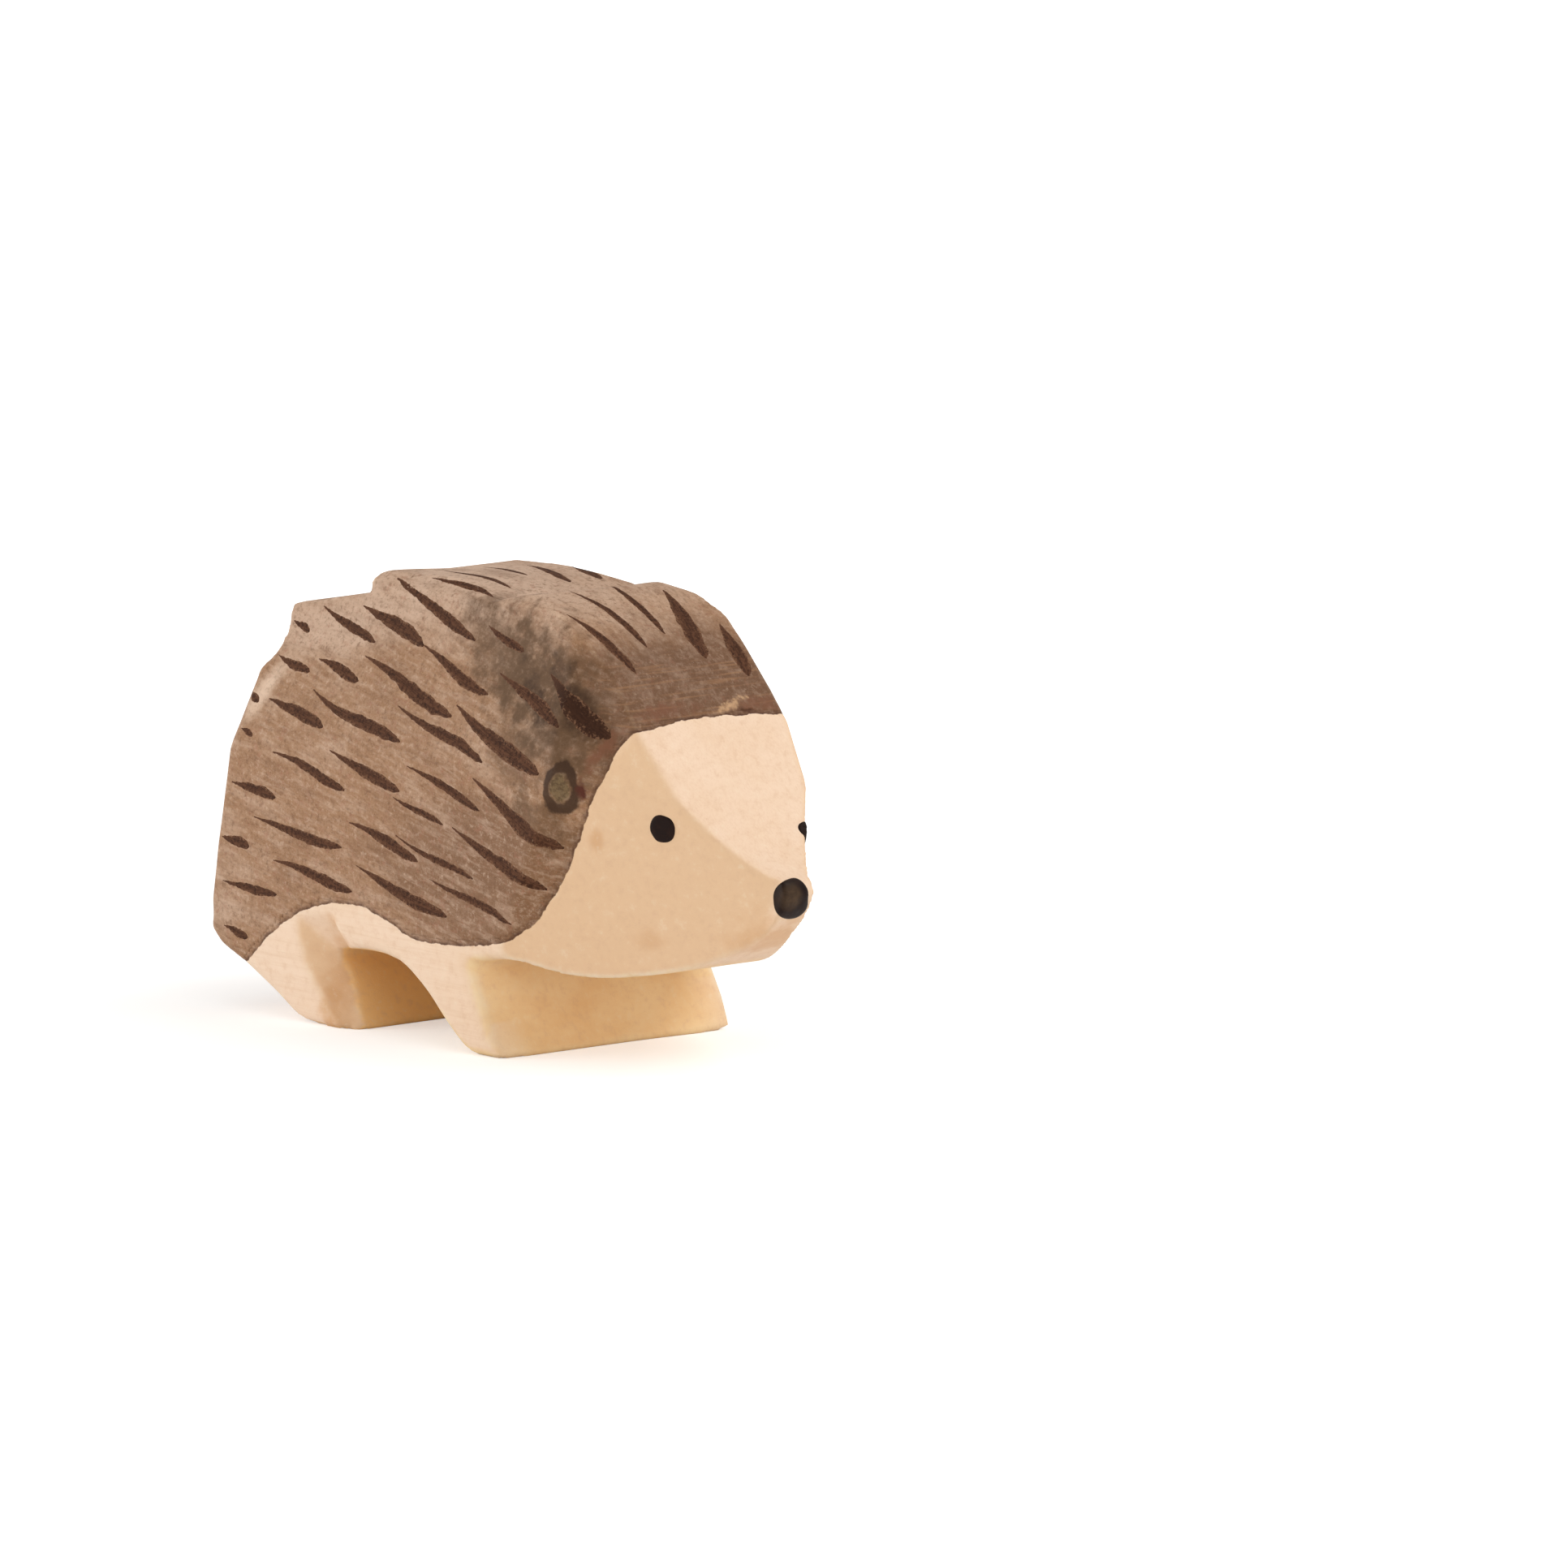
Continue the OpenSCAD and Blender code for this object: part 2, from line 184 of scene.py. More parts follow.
def closeness(places: np.ndarray, centre: Triple, reach: Triple) -> np.ndarray:
    """Shares that fall from 1 at a centre to 0 at its reach."""
    away = np.linalg.norm((places - centre) / reach, axis=1)
    return np.clip(1 - away ** 2, 0, 1)


def through(points: Shares, steps: int = 4) -> np.ndarray:
    """A smooth line through control points, given in shares of length and height.

    Args:
        points: control points.
        steps: pieces that each stretch between two points gets.

    Returns:
        Points of the line in millimetres.
    """
    p = np.array(points) * (LENGTH, HEIGHT)
    line = []
    for i in range(len(p) - 1):
        a, b, c, d = p[max(i - 1, 0)], p[i], p[i + 1], p[min(i + 2, len(p) - 1)]
        for t in np.arange(steps) / steps:
            line.append((2 * b + (c - a) * t + (2 * a - 5 * b + 4 * c - d) * t**2
                         + (3 * b - a - 3 * c + d) * t**3) / 2)
    return np.array([*line, p[-1]])


def side_of_line(points: np.ndarray, line: np.ndarray, loop: np.ndarray) -> np.ndarray:
    """Signed distance of points to an open line.

    Args:
        points: points, one row each.
        line: the line that the distance is measured to.
        loop: closed outline, whose inside counts as positive.

    Returns:
        One distance per point, above zero inside the outline.
    """
    nearest = np.full(len(points), np.inf)
    for a, b in zip(line[:-1], line[1:]):
        d = b - a
        t = np.clip((points - a) @ d / max(d @ d, TINY), 0, 1)
        nearest = np.minimum(nearest, np.linalg.norm(points - a - t[:, None] * d, axis=1))
    inside = np.zeros(len(points), bool)
    for a, b in zip(loop, np.roll(loop, -1, axis=0)):
        spans = (a[1] > points[:, 1]) != (b[1] > points[:, 1])
        rise = b[1] - a[1] if b[1] != a[1] else TINY
        inside ^= spans & (points[:, 0] < (b[0] - a[0]) * (points[:, 1] - a[1]) / rise + a[0])
    return np.where(inside, nearest, -nearest)


def hand_over(piece: Piece, name: str, finish: bpy.types.Material, slot: str, *nodes: str) -> None:
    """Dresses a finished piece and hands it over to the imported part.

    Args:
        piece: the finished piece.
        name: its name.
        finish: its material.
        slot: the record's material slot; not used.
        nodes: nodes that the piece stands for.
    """
    piece.name = piece.data.name = name
    piece.data.materials.clear()
    piece.data.materials.append(finish)
    pick(piece)
    bpy.ops.object.shade_smooth()
    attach(piece, BODY)
    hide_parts(*nodes)
    log.info("%s: %d faces, stands for %s", name, len(piece.data.polygons), ", ".join(nodes))


# Materials


@dataclass(frozen=True)
class Veil:
    """A tone laid over a colour, up to a share, as a number runs from start to full."""

    start: float
    full: float
    share: float
    tone: Colour


@dataclass(frozen=True)
class Lumps:
    """Soft noise on coordinates that it turns and stretches, and the veils that it lays."""

    scale: float
    detail: float
    rough: float
    reach: Triple = (1, 1, 1)
    turn: Triple = (0, 0, 0)
    centre: Triple = (0, 0, 0)
    veils: tuple[Veil, ...] = ()


@dataclass(frozen=True)
class Stain:
    """A place with a tone of its own, an ellipsoid in millimetres."""

    centre: Triple
    reach: Triple
    turn: Triple = (0, 0, 0)
    strength: float = 1.0


@dataclass(frozen=True)
class Stains:
    """Stains whose edges are ragged and soft by shares of their reach.

    Their tone is None where the finish works it out from other colours.
    """

    tone: Colour | None
    spots: tuple[Stain, ...]
    ragged: float = 0.4
    soft: float = 0.9
    lumps: Lumps = Lumps(0.22, 3, 0.5)


class Graph:
    """The nodes of one material or world, put together socket by socket."""

    def __init__(self, owner: bpy.types.ID) -> None:
        """Starts without nodes.

        Args:
            owner: the new material or world.
        """
        owner.use_nodes = True
        self.owner, self.tree = owner, owner.node_tree
        self.tree.nodes.clear()

    def node(self, kind: str, **settings: object) -> bpy.types.Node:
        """Adds a node.

        Args:
            kind: Blender's name of the node, without its first words.
            settings: values of the node's own settings.

        Returns:
            The new node.
        """
        node = self.tree.nodes.new("ShaderNode" + kind)
        for name, value in settings.items():
            setattr(node, name, value)
        return node

    def feed(self, socket: Socket, value: object) -> None:
        """Links a socket to an input, or sets the input to a plain value."""
        if isinstance(value, Socket):
            self.tree.links.new(value, socket)
        else:
            socket.default_value = value

    def math(self, kind: str, a: object, b: object = 0.0) -> Socket:
        """One sum on two numbers.

        Args:
            kind: Blender's name of the sum.
            a: first number or socket.
            b: second number or socket.

        Returns:
            The result's socket.
        """
        node = self.node("Math", operation=kind)
        self.feed(node.inputs[0], a)
        self.feed(node.inputs[1], b)
        return node.outputs[0]

    def times(self, first: object, *factors: object) -> Socket:
        """Product of numbers."""
        for factor in factors:
            first = self.math("MULTIPLY", first, factor)
        return first

    def mix(self, share: object, a: object, b: object) -> Socket:
        """Mixes two colours.

        Args:
            share: share of the second colour.
            a: first colour.
            b: second colour.

        Returns:
            The mixed colour's socket.
        """
        node = self.node("Mix", data_type="RGBA", clamp_result=True)
        self.feed(node.inputs[0], share)
        self.feed(node.inputs[6], a)
        self.feed(node.inputs[7], b)
        return node.outputs[2]

    def span(self, value: object, low: float, high: float, to_low: float = 0.0,
             to_high: float = 1.0) -> Socket:
        """Moves a number softly from one span to another.

        Args:
            value: number or socket.
            low: value that becomes to_low.
            high: value that becomes to_high.
            to_low: start of the new span.
            to_high: end of the new span.

        Returns:
            The moved number's socket.
        """
        node = self.node("MapRange", interpolation_type="SMOOTHSTEP")
        for socket, number in zip(node.inputs, (value, low, high, to_low, to_high)):
            self.feed(socket, number)
        return node.outputs[0]

    def place(self, source: object, centre: Triple = (0, 0, 0), turn: Triple = (0, 0, 0),
              reach: Triple = (1, 1, 1)) -> Socket:
        """Coordinates counted from a centre, turned, in units of a reach.

        Args:
            source: the coordinates to start from.
            centre: point that becomes zero.
            turn: turn in degrees about each axis.
            reach: length along each axis that becomes one.

        Returns:
            The new coordinates' socket.
        """
        node = self.node("Mapping", vector_type="TEXTURE")
        turned = [math.radians(angle) for angle in turn]
        for socket, value in zip(node.inputs, (source, centre, turned, reach)):
            self.feed(socket, value)
        return node.outputs[0]

    def millimetres(self) -> Socket:
        """Object coordinates in millimetres."""
        return self.place(self.node("TexCoord").outputs["Object"], reach=(MM, MM, MM))

    def cloud(self, at: object, lumps: Lumps) -> Socket:
        """Soft noise between 0 and 1.

        Args:
            at: coordinates.
            lumps: what the noise is like.

        Returns:
            The noise's socket.
        """
        node = self.node("TexNoise")
        self.feed(node.inputs["Vector"], self.place(at, lumps.centre, lumps.turn, lumps.reach))
        node.inputs["Scale"].default_value = lumps.scale
        node.inputs["Detail"].default_value = lumps.detail
        node.inputs["Roughness"].default_value = lumps.rough
        return node.outputs[0]

    def sway(self, at: object, lumps: Lumps, width: float) -> Socket:
        """Soft noise about zero, from end to end of a width."""
        return self.times(self.math("SUBTRACT", self.cloud(at, lumps), 0.5), width)

    def veil(self, colour: object, value: object, *veils: Veil) -> Socket:
        """Lays veils over a colour.

        Args:
            colour: the colour under them.
            value: the number that says how much of them shows.
            veils: the veils, from the lowest up.

        Returns:
            The new colour's socket.
        """
        for veil in veils:
            share = self.span(value, veil.start, veil.full, 0.0, veil.share)
            colour = self.mix(share, colour, veil.tone)
        return colour

    def clouded(self, colour: object, at: object, *kinds: Lumps) -> Socket:
        """Lays the veils of one noise after another over a colour."""
        for lumps in kinds:
            colour = self.veil(colour, self.cloud(at, lumps), *lumps.veils)
        return colour

    def away(self, at: object, spot: Stain) -> Socket:
        """Distance from a stain's middle, in shares of its reach."""
        return self.distance(self.place(at, spot.centre, spot.turn, spot.reach))

    def stained(self, colour: object, at: object, stains: Stains, share: object = 1.0,
                tone: object = None) -> Socket:
        """Lays stains over a colour.

        Args:
            colour: the colour under them.
            at: coordinates in millimetres.
            stains: the stains.
            share: how much of them shows at each place.
            tone: their colour, if they have none of their own.

        Returns:
            The new colour's socket.
        """
        uneven = self.sway(at, stains.lumps, 2 * stains.ragged)
        for spot in stains.spots:
            away = self.math("ADD", self.away(at, spot), uneven)
            shown = self.times(self.span(away, 1.0, 1.0 - stains.soft, 0.0, spot.strength), share)
            colour = self.mix(shown, colour, tone if stains.tone is None else stains.tone)
        return colour

    def distance(self, at: object) -> Socket:
        """Length of a vector."""
        node = self.node("VectorMath", operation="LENGTH")
        self.feed(node.inputs[0], at)
        return node.outputs["Value"]

    def parts(self, at: object) -> tuple[Socket, ...]:
        """The three numbers of a vector."""
        node = self.node("SeparateXYZ")
        self.feed(node.inputs[0], at)
        return tuple(node.outputs)

    def attribute(self, name: str) -> Socket:
        """A number that the mesh holds for each vertex."""
        return self.node("Attribute", attribute_name=name).outputs["Fac"]

    def bump(self, height: object, relief: tuple[float, float], under: object = None) -> Socket:
        """Turns a height into a bumped normal.

        Args:
            height: height between 0 and 1.
            relief: depth in metres that a height of 1 stands for, and the share that shows.
            under: a normal to add it to.

        Returns:
            The normal's socket.
        """
        node = self.node("Bump")
        node.inputs["Distance"].default_value, node.inputs["Strength"].default_value = relief
        self.feed(node.inputs["Height"], height)
        if under is not None:
            self.feed(node.inputs["Normal"], under)
        return node.outputs[0]

    def surface(self, colour: object, roughness: object, normal: object,
                **settings: object) -> bpy.types.Material:
        """Ends the material with its shader.

        Args:
            colour: base colour.
            roughness: roughness.
            normal: normal, or None.
            settings: values or inputs of other sockets, with underscores for spaces.

        Returns:
            The finished material.
        """
        shader = self.node("BsdfPrincipled")
        self.feed(shader.inputs["Base Color"], colour)
        self.feed(shader.inputs["Roughness"], roughness)
        if normal is not None:
            self.feed(shader.inputs["Normal"], normal)
        for name, value in settings.items():
            self.feed(shader.inputs[name.replace("_", " ")], value)
        self.feed(self.node("OutputMaterial").inputs["Surface"], shader.outputs[0])
        return self.owner


@dataclass(frozen=True)
class Knot:
    """A knot that shows through the glaze: a pale heart in a dark ring, red at one side."""

    place: Stain = Stain((20.1, -16.8, 32.4), (2.1, 6.0, 3.0), (0, 8, 0))
    outline: Lumps = Lumps(0.8, 3, 0.5)
    wander: float = 0.45
    heart: Colour = srgb(116, 97, 68)
    heart_span: Span = (0.70, 0.40)
    heart_share: float = 0.85
    ring: Colour = srgb(64, 43, 29)
    ring_outside: Span = (1.10, 0.94)
    ring_inside: Span = (0.48, 0.66)
    ring_share: float = 0.92
    mottle: Lumps = Lumps(1.8, 3, 0.7)
    mottle_span: Span = (0.42, 0.62, 0.0, 0.55)
    side: Stains = Stains(srgb(88, 46, 34), (Stain((22.4, -15.5, 32.2), (0.9, 3.0, 1.7)),),
                          0.8, 0.7, Lumps(0.9, 3, 0.5))

    def show(self, g: Graph, at: object, colour: object) -> Socket:
        """Lays the knot over a colour.

        Args:
            g: the material's nodes.
            at: coordinates in millimetres.
            colour: colour without the knot.

        Returns:
            The colour with it.
        """
        away = g.math("ADD", g.away(at, self.place), g.sway(at, self.outline, self.wander))
        heart = g.span(away, *self.heart_span)
        band = g.times(g.span(away, *self.ring_outside), g.span(away, *self.ring_inside))
        mottle = g.span(g.cloud(at, self.mottle), *self.mottle_span)
        colour = g.mix(g.times(heart, self.heart_share), colour, self.heart)
        colour = g.mix(g.times(heart, mottle), colour, self.ring)
        colour = g.mix(g.times(band, self.ring_share), colour, self.ring)
        return g.stained(colour, at, self.side)


@dataclass(frozen=True)
class WoodFinish:
    """Pale sanded hardwood with a brown glaze over part of it.

    A span holds two values and, if they aren't 0 and 1, what they become.
    """

    pale: Colour = srgb(250, 222, 197)
    warm: Colour = srgb(243, 210, 179)
    # Painted shade on the faces turned forward and to the side, such as the cheeks and the leg bevels.
    facet_shade: Colour = srgb(240, 203, 165)
    # The next three are end-grain tones where the saw left the wood, which also carry painted warm shade
    # under the head and inside the arch; the third is painted warm shade alone, for deep in the arch.
    sawn: Colour = srgb(252, 222, 176)
    sawn_dark: Colour = srgb(245, 207, 156)
    sawn_deep: Colour = srgb(255, 210, 148)
    # Pale tone of random patches, and of the painted highlight along edges.
    pale_patch_and_highlight: Colour = srgb(255, 238, 214)
    ring: Colour = srgb(218, 176, 134)
    blotch: Colour = srgb(226, 186, 152)
    # Tone of blemishes, and of painted shade under the chin and on the hind-leg bevel.
    blemish_and_shade_tone: Colour = srgb(226, 180, 136)
    fleck: Colour = srgb(184, 138, 96)
    glaze: Colour = srgb(162, 121, 88)
    glaze_pale: Colour = srgb(210, 179, 156)
    glaze_dark: Colour = srgb(116, 80, 54)
    glaze_red: Colour = srgb(158, 104, 80)
    glaze_burnt: Colour = srgb(126, 82, 60)
    glaze_deep: Colour = srgb(98, 68, 48)
    speck: Colour = srgb(84, 52, 34)
    rim: Colour = srgb(82, 52, 38)
    haze: Colour = srgb(100, 74, 52)
    cloud: Colour = srgb(66, 45, 31)
    bare_streak: Colour = srgb(208, 168, 130)

    tree_heart: Triple = (0.0, 9.0, -46.0)
    tree_lean: Triple = (0, 2.5, 1.5)
    ring_gap: float = 2.3
    ring_wander: float = 4.5
    ring_sharpness: float = 5.0
    ring_on_bare: float = 0.08
    ring_on_glaze: float = 0.14
    wander: Lumps = Lumps(1.0, 2, 0.5, (30.0, 9.0, 9.0))
    fibres: Lumps = Lumps(1.0, 4, 0.62, (9.0, 0.28, 0.28))
    fibre_on_bare: Veil = Veil(0.42, 0.80, 0.24, ring)
    fibre_on_glaze: Veil = Veil(0.5, 0.8, 0.18, glaze_dark)
    fibre_height: float = 0.6
    ring_height: float = 0.3

    broad: Lumps = Lumps(1.0, 2, 0.5, (14.0, 7.0, 7.0), veils=(Veil(0.35, 0.75, 0.5, warm),))
    flecks: Lumps = Lumps(1.0, 1, 0.4, (2.6, 0.22, 0.22), veils=(Veil(0.72, 0.84, 0.16, fleck),))
    end_grain: Lumps = Lumps(1.0, 4, 0.6, (9.0, 9.0, 5.0), veils=(Veil(0.35, 0.70, 1.0, sawn_dark),))
    # Painted warm shade, full towards the back of the arch.
    arch: Veil = Veil(-7.0, -12.0, 1.0, sawn_deep)
    blotches: Lumps = Lumps(0.9, 4, 0.7, veils=(
        Veil(0.48, 0.72, 0.34, blotch), Veil(0.46, 0.26, 0.26, pale_patch_and_highlight)))
    # Darker spots: two blemishes, beside the eye and low on the cheek, then painted shade under the chin
    # and on the hind-leg bevel.
    blemishes_and_shade: Stains = Stains(blemish_and_shade_tone, (
        Stain((22.9, -13.7, 26.5), (1.2, 2.0, 2.3), (0, 12, 0), 0.8),
        Stain((26.4, -8.8, 14.8), (2.6, 2.8, 2.2), (0, 0, 0), 0.55),
        Stain((38.5, 0.0, 15.5), (7.0, 10.0, 5.0), (0, 0, 0), 0.7),
        Stain((-19.6, -16.5, 5.0), (3.0, 4.5, 11.0)),
    ), 0.6, 0.9, Lumps(0.5, 3, 0.5))
    # Where the painted edge highlight goes: ridges, in patches, strongest low down between the arch and
    # the muzzle, none on the soles.
    highlight_ridge: Span = (0.03, 0.16)
    highlight_lumps: Lumps = Lumps(0.5, 2, 0.5)
    highlight_patches: Span = (0.30, 0.62, 0.4, 1.0)
    highlight_heights: tuple[Span, ...] = ((22.0, 15.0, 0.12, 0.75), (0.8, 2.0))
    highlight_lengths: tuple[Span, ...] = ((36.0, 24.0, 0.3, 1.0), (-14.0, -7.0, 0.35, 1.0))

    dark_tones: Stains = Stains(glaze_dark, (
        Stain((10.0, -17.5, 19.0), (26.0, 30.0, 15.0), (0, 8, 0), 0.68),
        Stain((25.5, 0.0, 41.0), (14.5, 28.0, 18.0), (0, 45, 0), 1.0),
    ), 0.25, 0.6)
    # Paler glaze: painted light on the top of the back and the rounded upper rear, and a paler patch low
    # on the rump.
    pale_tones_and_top_light: Stains = Stains(glaze_pale, (
        Stain((-33.4, -16.0, 37.2), (6.6, 4.0, 2.0), (0, -56, 0), 1.0),
        Stain((-38.6, -17.0, 11.5), (5.0, 6.0, 3.5), (0, 0, 0), 0.6),
        Stain((-25.0, -13.0, 46.0), (19.0, 6.0, 6.0), (0, -10, 0), 0.8),
        Stain((-9.0, -3.0, 53.0), (46.0, 25.0, 10.5)),
    ), 0.35)
    patches: Lumps = Lumps(1.0, 3, 0.5, (9.0, 4.0, 3.0), (0, 14, 0), veils=(
        Veil(0.50, 0.78, 0.45, glaze_pale), Veil(0.50, 0.24, 0.40, glaze_dark)))
    brushed: Lumps = Lumps(1.0, 4, 0.62, (3.2, 0.9, 0.55), (0, 14, 0), veils=(
        Veil(0.44, 0.74, 0.45, glaze_pale), Veil(0.46, 0.22, 0.50, glaze_dark)))
    mottle: Lumps = Lumps(1.5, 4, 0.72, veils=(
        Veil(0.50, 0.70, 0.66, glaze_dark), Veil(0.47, 0.28, 0.56, glaze_pale)))
    blush: Lumps = Lumps(1.1, 4, 0.7, centre=(7.0, 3.0, 5.0), veils=(
        Veil(0.52, 0.74, 0.55, glaze_red),))
    grit: Lumps = Lumps(3.6, 3, 0.8, veils=(
        Veil(0.54, 0.74, 0.60, speck), Veil(0.46, 0.26, 0.34, glaze_pale)))
    glaze_clearness: float = 0.05
    brow_shade: Stains = Stains(glaze_deep, (
        Stain((25.0, 0.0, 41.5), (15.0, 30.0, 16.0), (0, 45, 0), 0.42),
    ), 0.2, 0.6)
    rubbed_ridge: Span = (0.06, 0.30)
    rubbed_lumps: Lumps = Lumps(0.4, 4, 0.6)
    rubbed_patches: Span = (0.40, 0.56, 0.0, 0.62)
    scratches: Lumps = Lumps(1.0, 2, 0.5, (3.0, 9.0, 0.30))
    scratch_span: Span = (0.52, 0.70)
    scratch_length: Span = (19.0, 22.0, 0.0, 0.5)
    cloud_mottle: Span = (0.28, 0.60, 0.65, 1.0)
    hazes: Stains = Stains(haze, (
        Stain((6.0, -12.0, 45.6), (13.0, 9.0, 6.6), (0, 26, 0), 0.74),
        Stain((14.0, -13.5, 42.2), (15.0, 10.0, 8.0), (0, 38, 0), 0.88),
        Stain((19.5, -14.0, 38.8), (8.0, 8.0, 6.5), (0, 44, 0), 0.55),
        Stain((11.0, -16.5, 36.0), (12.0, 7.0, 4.0), (0, 46, 0), 0.45),
        Stain((17.0, -17.0, 28.6), (7.0, 6.0, 4.0), (0, 30, 0), 0.55),
    ), 0.9, 0.7, Lumps(0.4, 3, 0.5))
    clouds: Stains = Stains(cloud, (
        Stain((18.6, -13.2, 42.2), (8.0, 7.0, 3.0), (0, 40, 0), 0.88),
        Stain((13.6, -14.4, 41.3), (7.5, 7.0, 1.8), (0, 40, 0), 0.8),
    ), 0.9, 0.8, Lumps(0.5, 3, 0.5))
    thinned: Stains = Stains(None, (
        Stain((-33.2, -15.9, 37.5), (6.4, 4.0, 2.1), (0, -56, 0), 0.36),
    ), 0.7, 0.8, Lumps(0.5, 3, 0.5))
    knot: Knot = Knot()
    reddened: Stains = Stains(glaze_burnt, (
        Stain((25.9, 8.0, 40.6), (1.8, 4.6, 1.9), (0, 0, 0), 0.75),
        Stain((25.4, -5.5, 40.7), (1.5, 6.0, 1.5), (0, 0, 0), 0.7),
        Stain((23.9, -13.4, 37.0), (1.3, 3.5, 5.5), (0, 24, 0), 0.8),
    ), 0.9, 0.9, Lumps(0.9, 3, 0.5))
    missed: Stains = Stains(bare_streak, (
        Stain((25.5, 4.0, 40.5), (1.0, 3.6, 0.62), (15, 0, 11), 0.9),
    ), 1.3, 0.9, Lumps(1.2, 3, 0.5))
    dash: Stains = Stains(speck, (
        Stain((26.1, 5.8, 39.9), (0.7, 1.6, 0.42), (-6, 0, 8), 0.9),
    ), 1.0, 0.8, Lumps(1.4, 3, 0.5))
    pools: Lumps = Lumps(0.8, 3, 0.6)
    pooled: Span = (0.32, 0.60, 0.25, 1.0)
    rim_span: Span = (0.60, 0.05, 0.0, 0.85)

    brush: Lumps = Lumps(0.55, 3, 0.6)
    brush_wobble: float = 0.75
    edge_span: Span = (-0.05, 0.05)
    # Painted shade in the creases and hollows.
    crease_shade_span: Span = (-0.04, -0.25, 0.0, 0.30)
    pores: Lumps = Lumps(1.0, 2, 0.5, (1.6, 0.16, 0.16))
    knife_marks: Lumps = Lumps(1.0, 1, 0.4, (6.5, 5.0, 5.0))
    knife_relief: tuple[float, float] = (0.28 * MM, 0.5)
    grain_relief: tuple[float, float] = (0.04 * MM, 0.6)
    pore_relief: tuple[float, float] = (0.03 * MM, 0.5)
    roughness: float = 0.60
    pore_roughness: float = 0.16
    glaze_sheen: float = 0.08
    shine: float = 0.14

    def grain(self, g: Graph, at: object) -> tuple[Socket, Socket]:
        """Growth rings and fibres of a board that runs along the figure.

        Args:
            g: the material's nodes.
            at: coordinates in millimetres.

        Returns:
            How dark the ring is, and how dark the fibre is, both from 0 to 1.
        """
        y, z = g.parts(g.place(at, self.tree_heart, self.tree_lean))[1:]
        radius = g.math("SQRT", g.math("ADD", g.times(y, y), g.times(z, z)))
        radius = g.math("ADD", radius, g.times(g.cloud(at, self.wander), self.ring_wander))
        turn = g.math("FRACT", g.math("DIVIDE", radius, self.ring_gap))
        peak = g.math("ABSOLUTE", g.math("SUBTRACT", g.times(turn, 2.0), 1.0))
        return g.math("POWER", peak, self.ring_sharpness), g.cloud(at, self.fibres)

    def bare(self, g: Graph, at: object) -> tuple[Socket, Socket]:
        """Colour of the bare wood.

        Args:
            g: the material's nodes.
            at: coordinates in millimetres.

        Returns:
            The colour, and a height for its bump.
        """
        ring, fibre = self.grain(g, at)
        x, _, z = g.parts(at)
        colour = g.clouded(self.pale, at, self.broad)
        colour = g.mix(g.times(ring, self.ring_on_bare), colour, self.ring)
        colour = g.veil(colour, fibre, self.fibre_on_bare)
        colour = g.clouded(colour, at, self.flecks)
        # Painted shade on faces turned forward and to the side.
        colour = g.mix(g.attribute("facet_shade"), colour, self.facet_shade)
        # Blemishes, and painted shade under the chin and on the hind-leg bevel.
        colour = g.stained(colour, at, self.blemishes_and_shade)
        # End-grain tone with painted warm shade under the head and inside the arch.
        grain_and_shade_tone = g.veil(g.clouded(self.sawn, at, self.end_grain), x, self.arch)
        colour = g.mix(g.attribute("sawn"), colour, grain_and_shade_tone)
        colour = g.clouded(colour, at, self.blotches)
        # Painted highlight along convex edges.
        edge = g.times(g.span(g.attribute("ridge"), *self.highlight_ridge),
                       g.span(g.cloud(at, self.highlight_lumps), *self.highlight_patches),
                       *(g.span(z, *span) for span in self.highlight_heights),
                       *(g.span(x, *span) for span in self.highlight_lengths))
        colour = g.mix(edge, colour, self.pale_patch_and_highlight)
        height = g.math("SUBTRACT", g.times(fibre, self.fibre_height), g.times(ring, self.ring_height))
        return colour, height

    def coated(self, g: Graph, at: object, bare: object, inside: object) -> Socket:
        """Colour of the glazed wood.

        Args:
            g: the material's nodes.
            at: coordinates in millimetres.
            bare: colour of the wood under the glaze.
            inside: distance from the edge of the glaze, in millimetres.

        Returns:
            The colour.
        """
        colour = g.stained(self.glaze, at, self.dark_tones)
        # Painted light on the top of the back and the upper rear, and a paler patch low on the rump.
        colour = g.stained(colour, at, self.pale_tones_and_top_light)
        colour = g.clouded(colour, at, self.patches, self.brushed, self.mottle, self.blush, self.grit)
        colour = g.mix(self.glaze_clearness, colour, bare)
        colour = g.stained(colour, at, self.brow_shade)
        ring, fibre = self.grain(g, at)
        colour = g.mix(g.times(ring, self.ring_on_glaze), colour, self.glaze_dark)
        colour = g.veil(colour, fibre, self.fibre_on_glaze)
        # Glaze worn through on the ridges, showing the bare wood.
        wear_and_sheen = g.times(g.span(g.attribute("ridge"), *self.rubbed_ridge),
                         g.span(g.cloud(at, self.rubbed_lumps), *self.rubbed_patches))
        colour = g.mix(wear_and_sheen, colour, bare)
        scratched = g.times(g.span(g.cloud(at, self.scratches), *self.scratch_span),
                            g.span(g.parts(at)[0], *self.scratch_length))
        colour = g.mix(scratched, colour, self.glaze)
        uneven = g.span(g.cloud(at, self.mottle), *self.cloud_mottle)
        colour = g.stained(colour, at, self.hazes, uneven)
        colour = g.stained(colour, at, self.clouds, uneven)
        colour = g.stained(colour, at, self.thinned, tone=bare)
        colour = self.knot.show(g, at, colour)
        for stains in (self.reddened, self.missed, self.dash):
            colour = g.stained(colour, at, stains)
        rim = g.times(g.span(inside, *self.rim_span), g.span(g.cloud(at, self.pools), *self.pooled))
        return g.mix(rim, colour, self.rim)

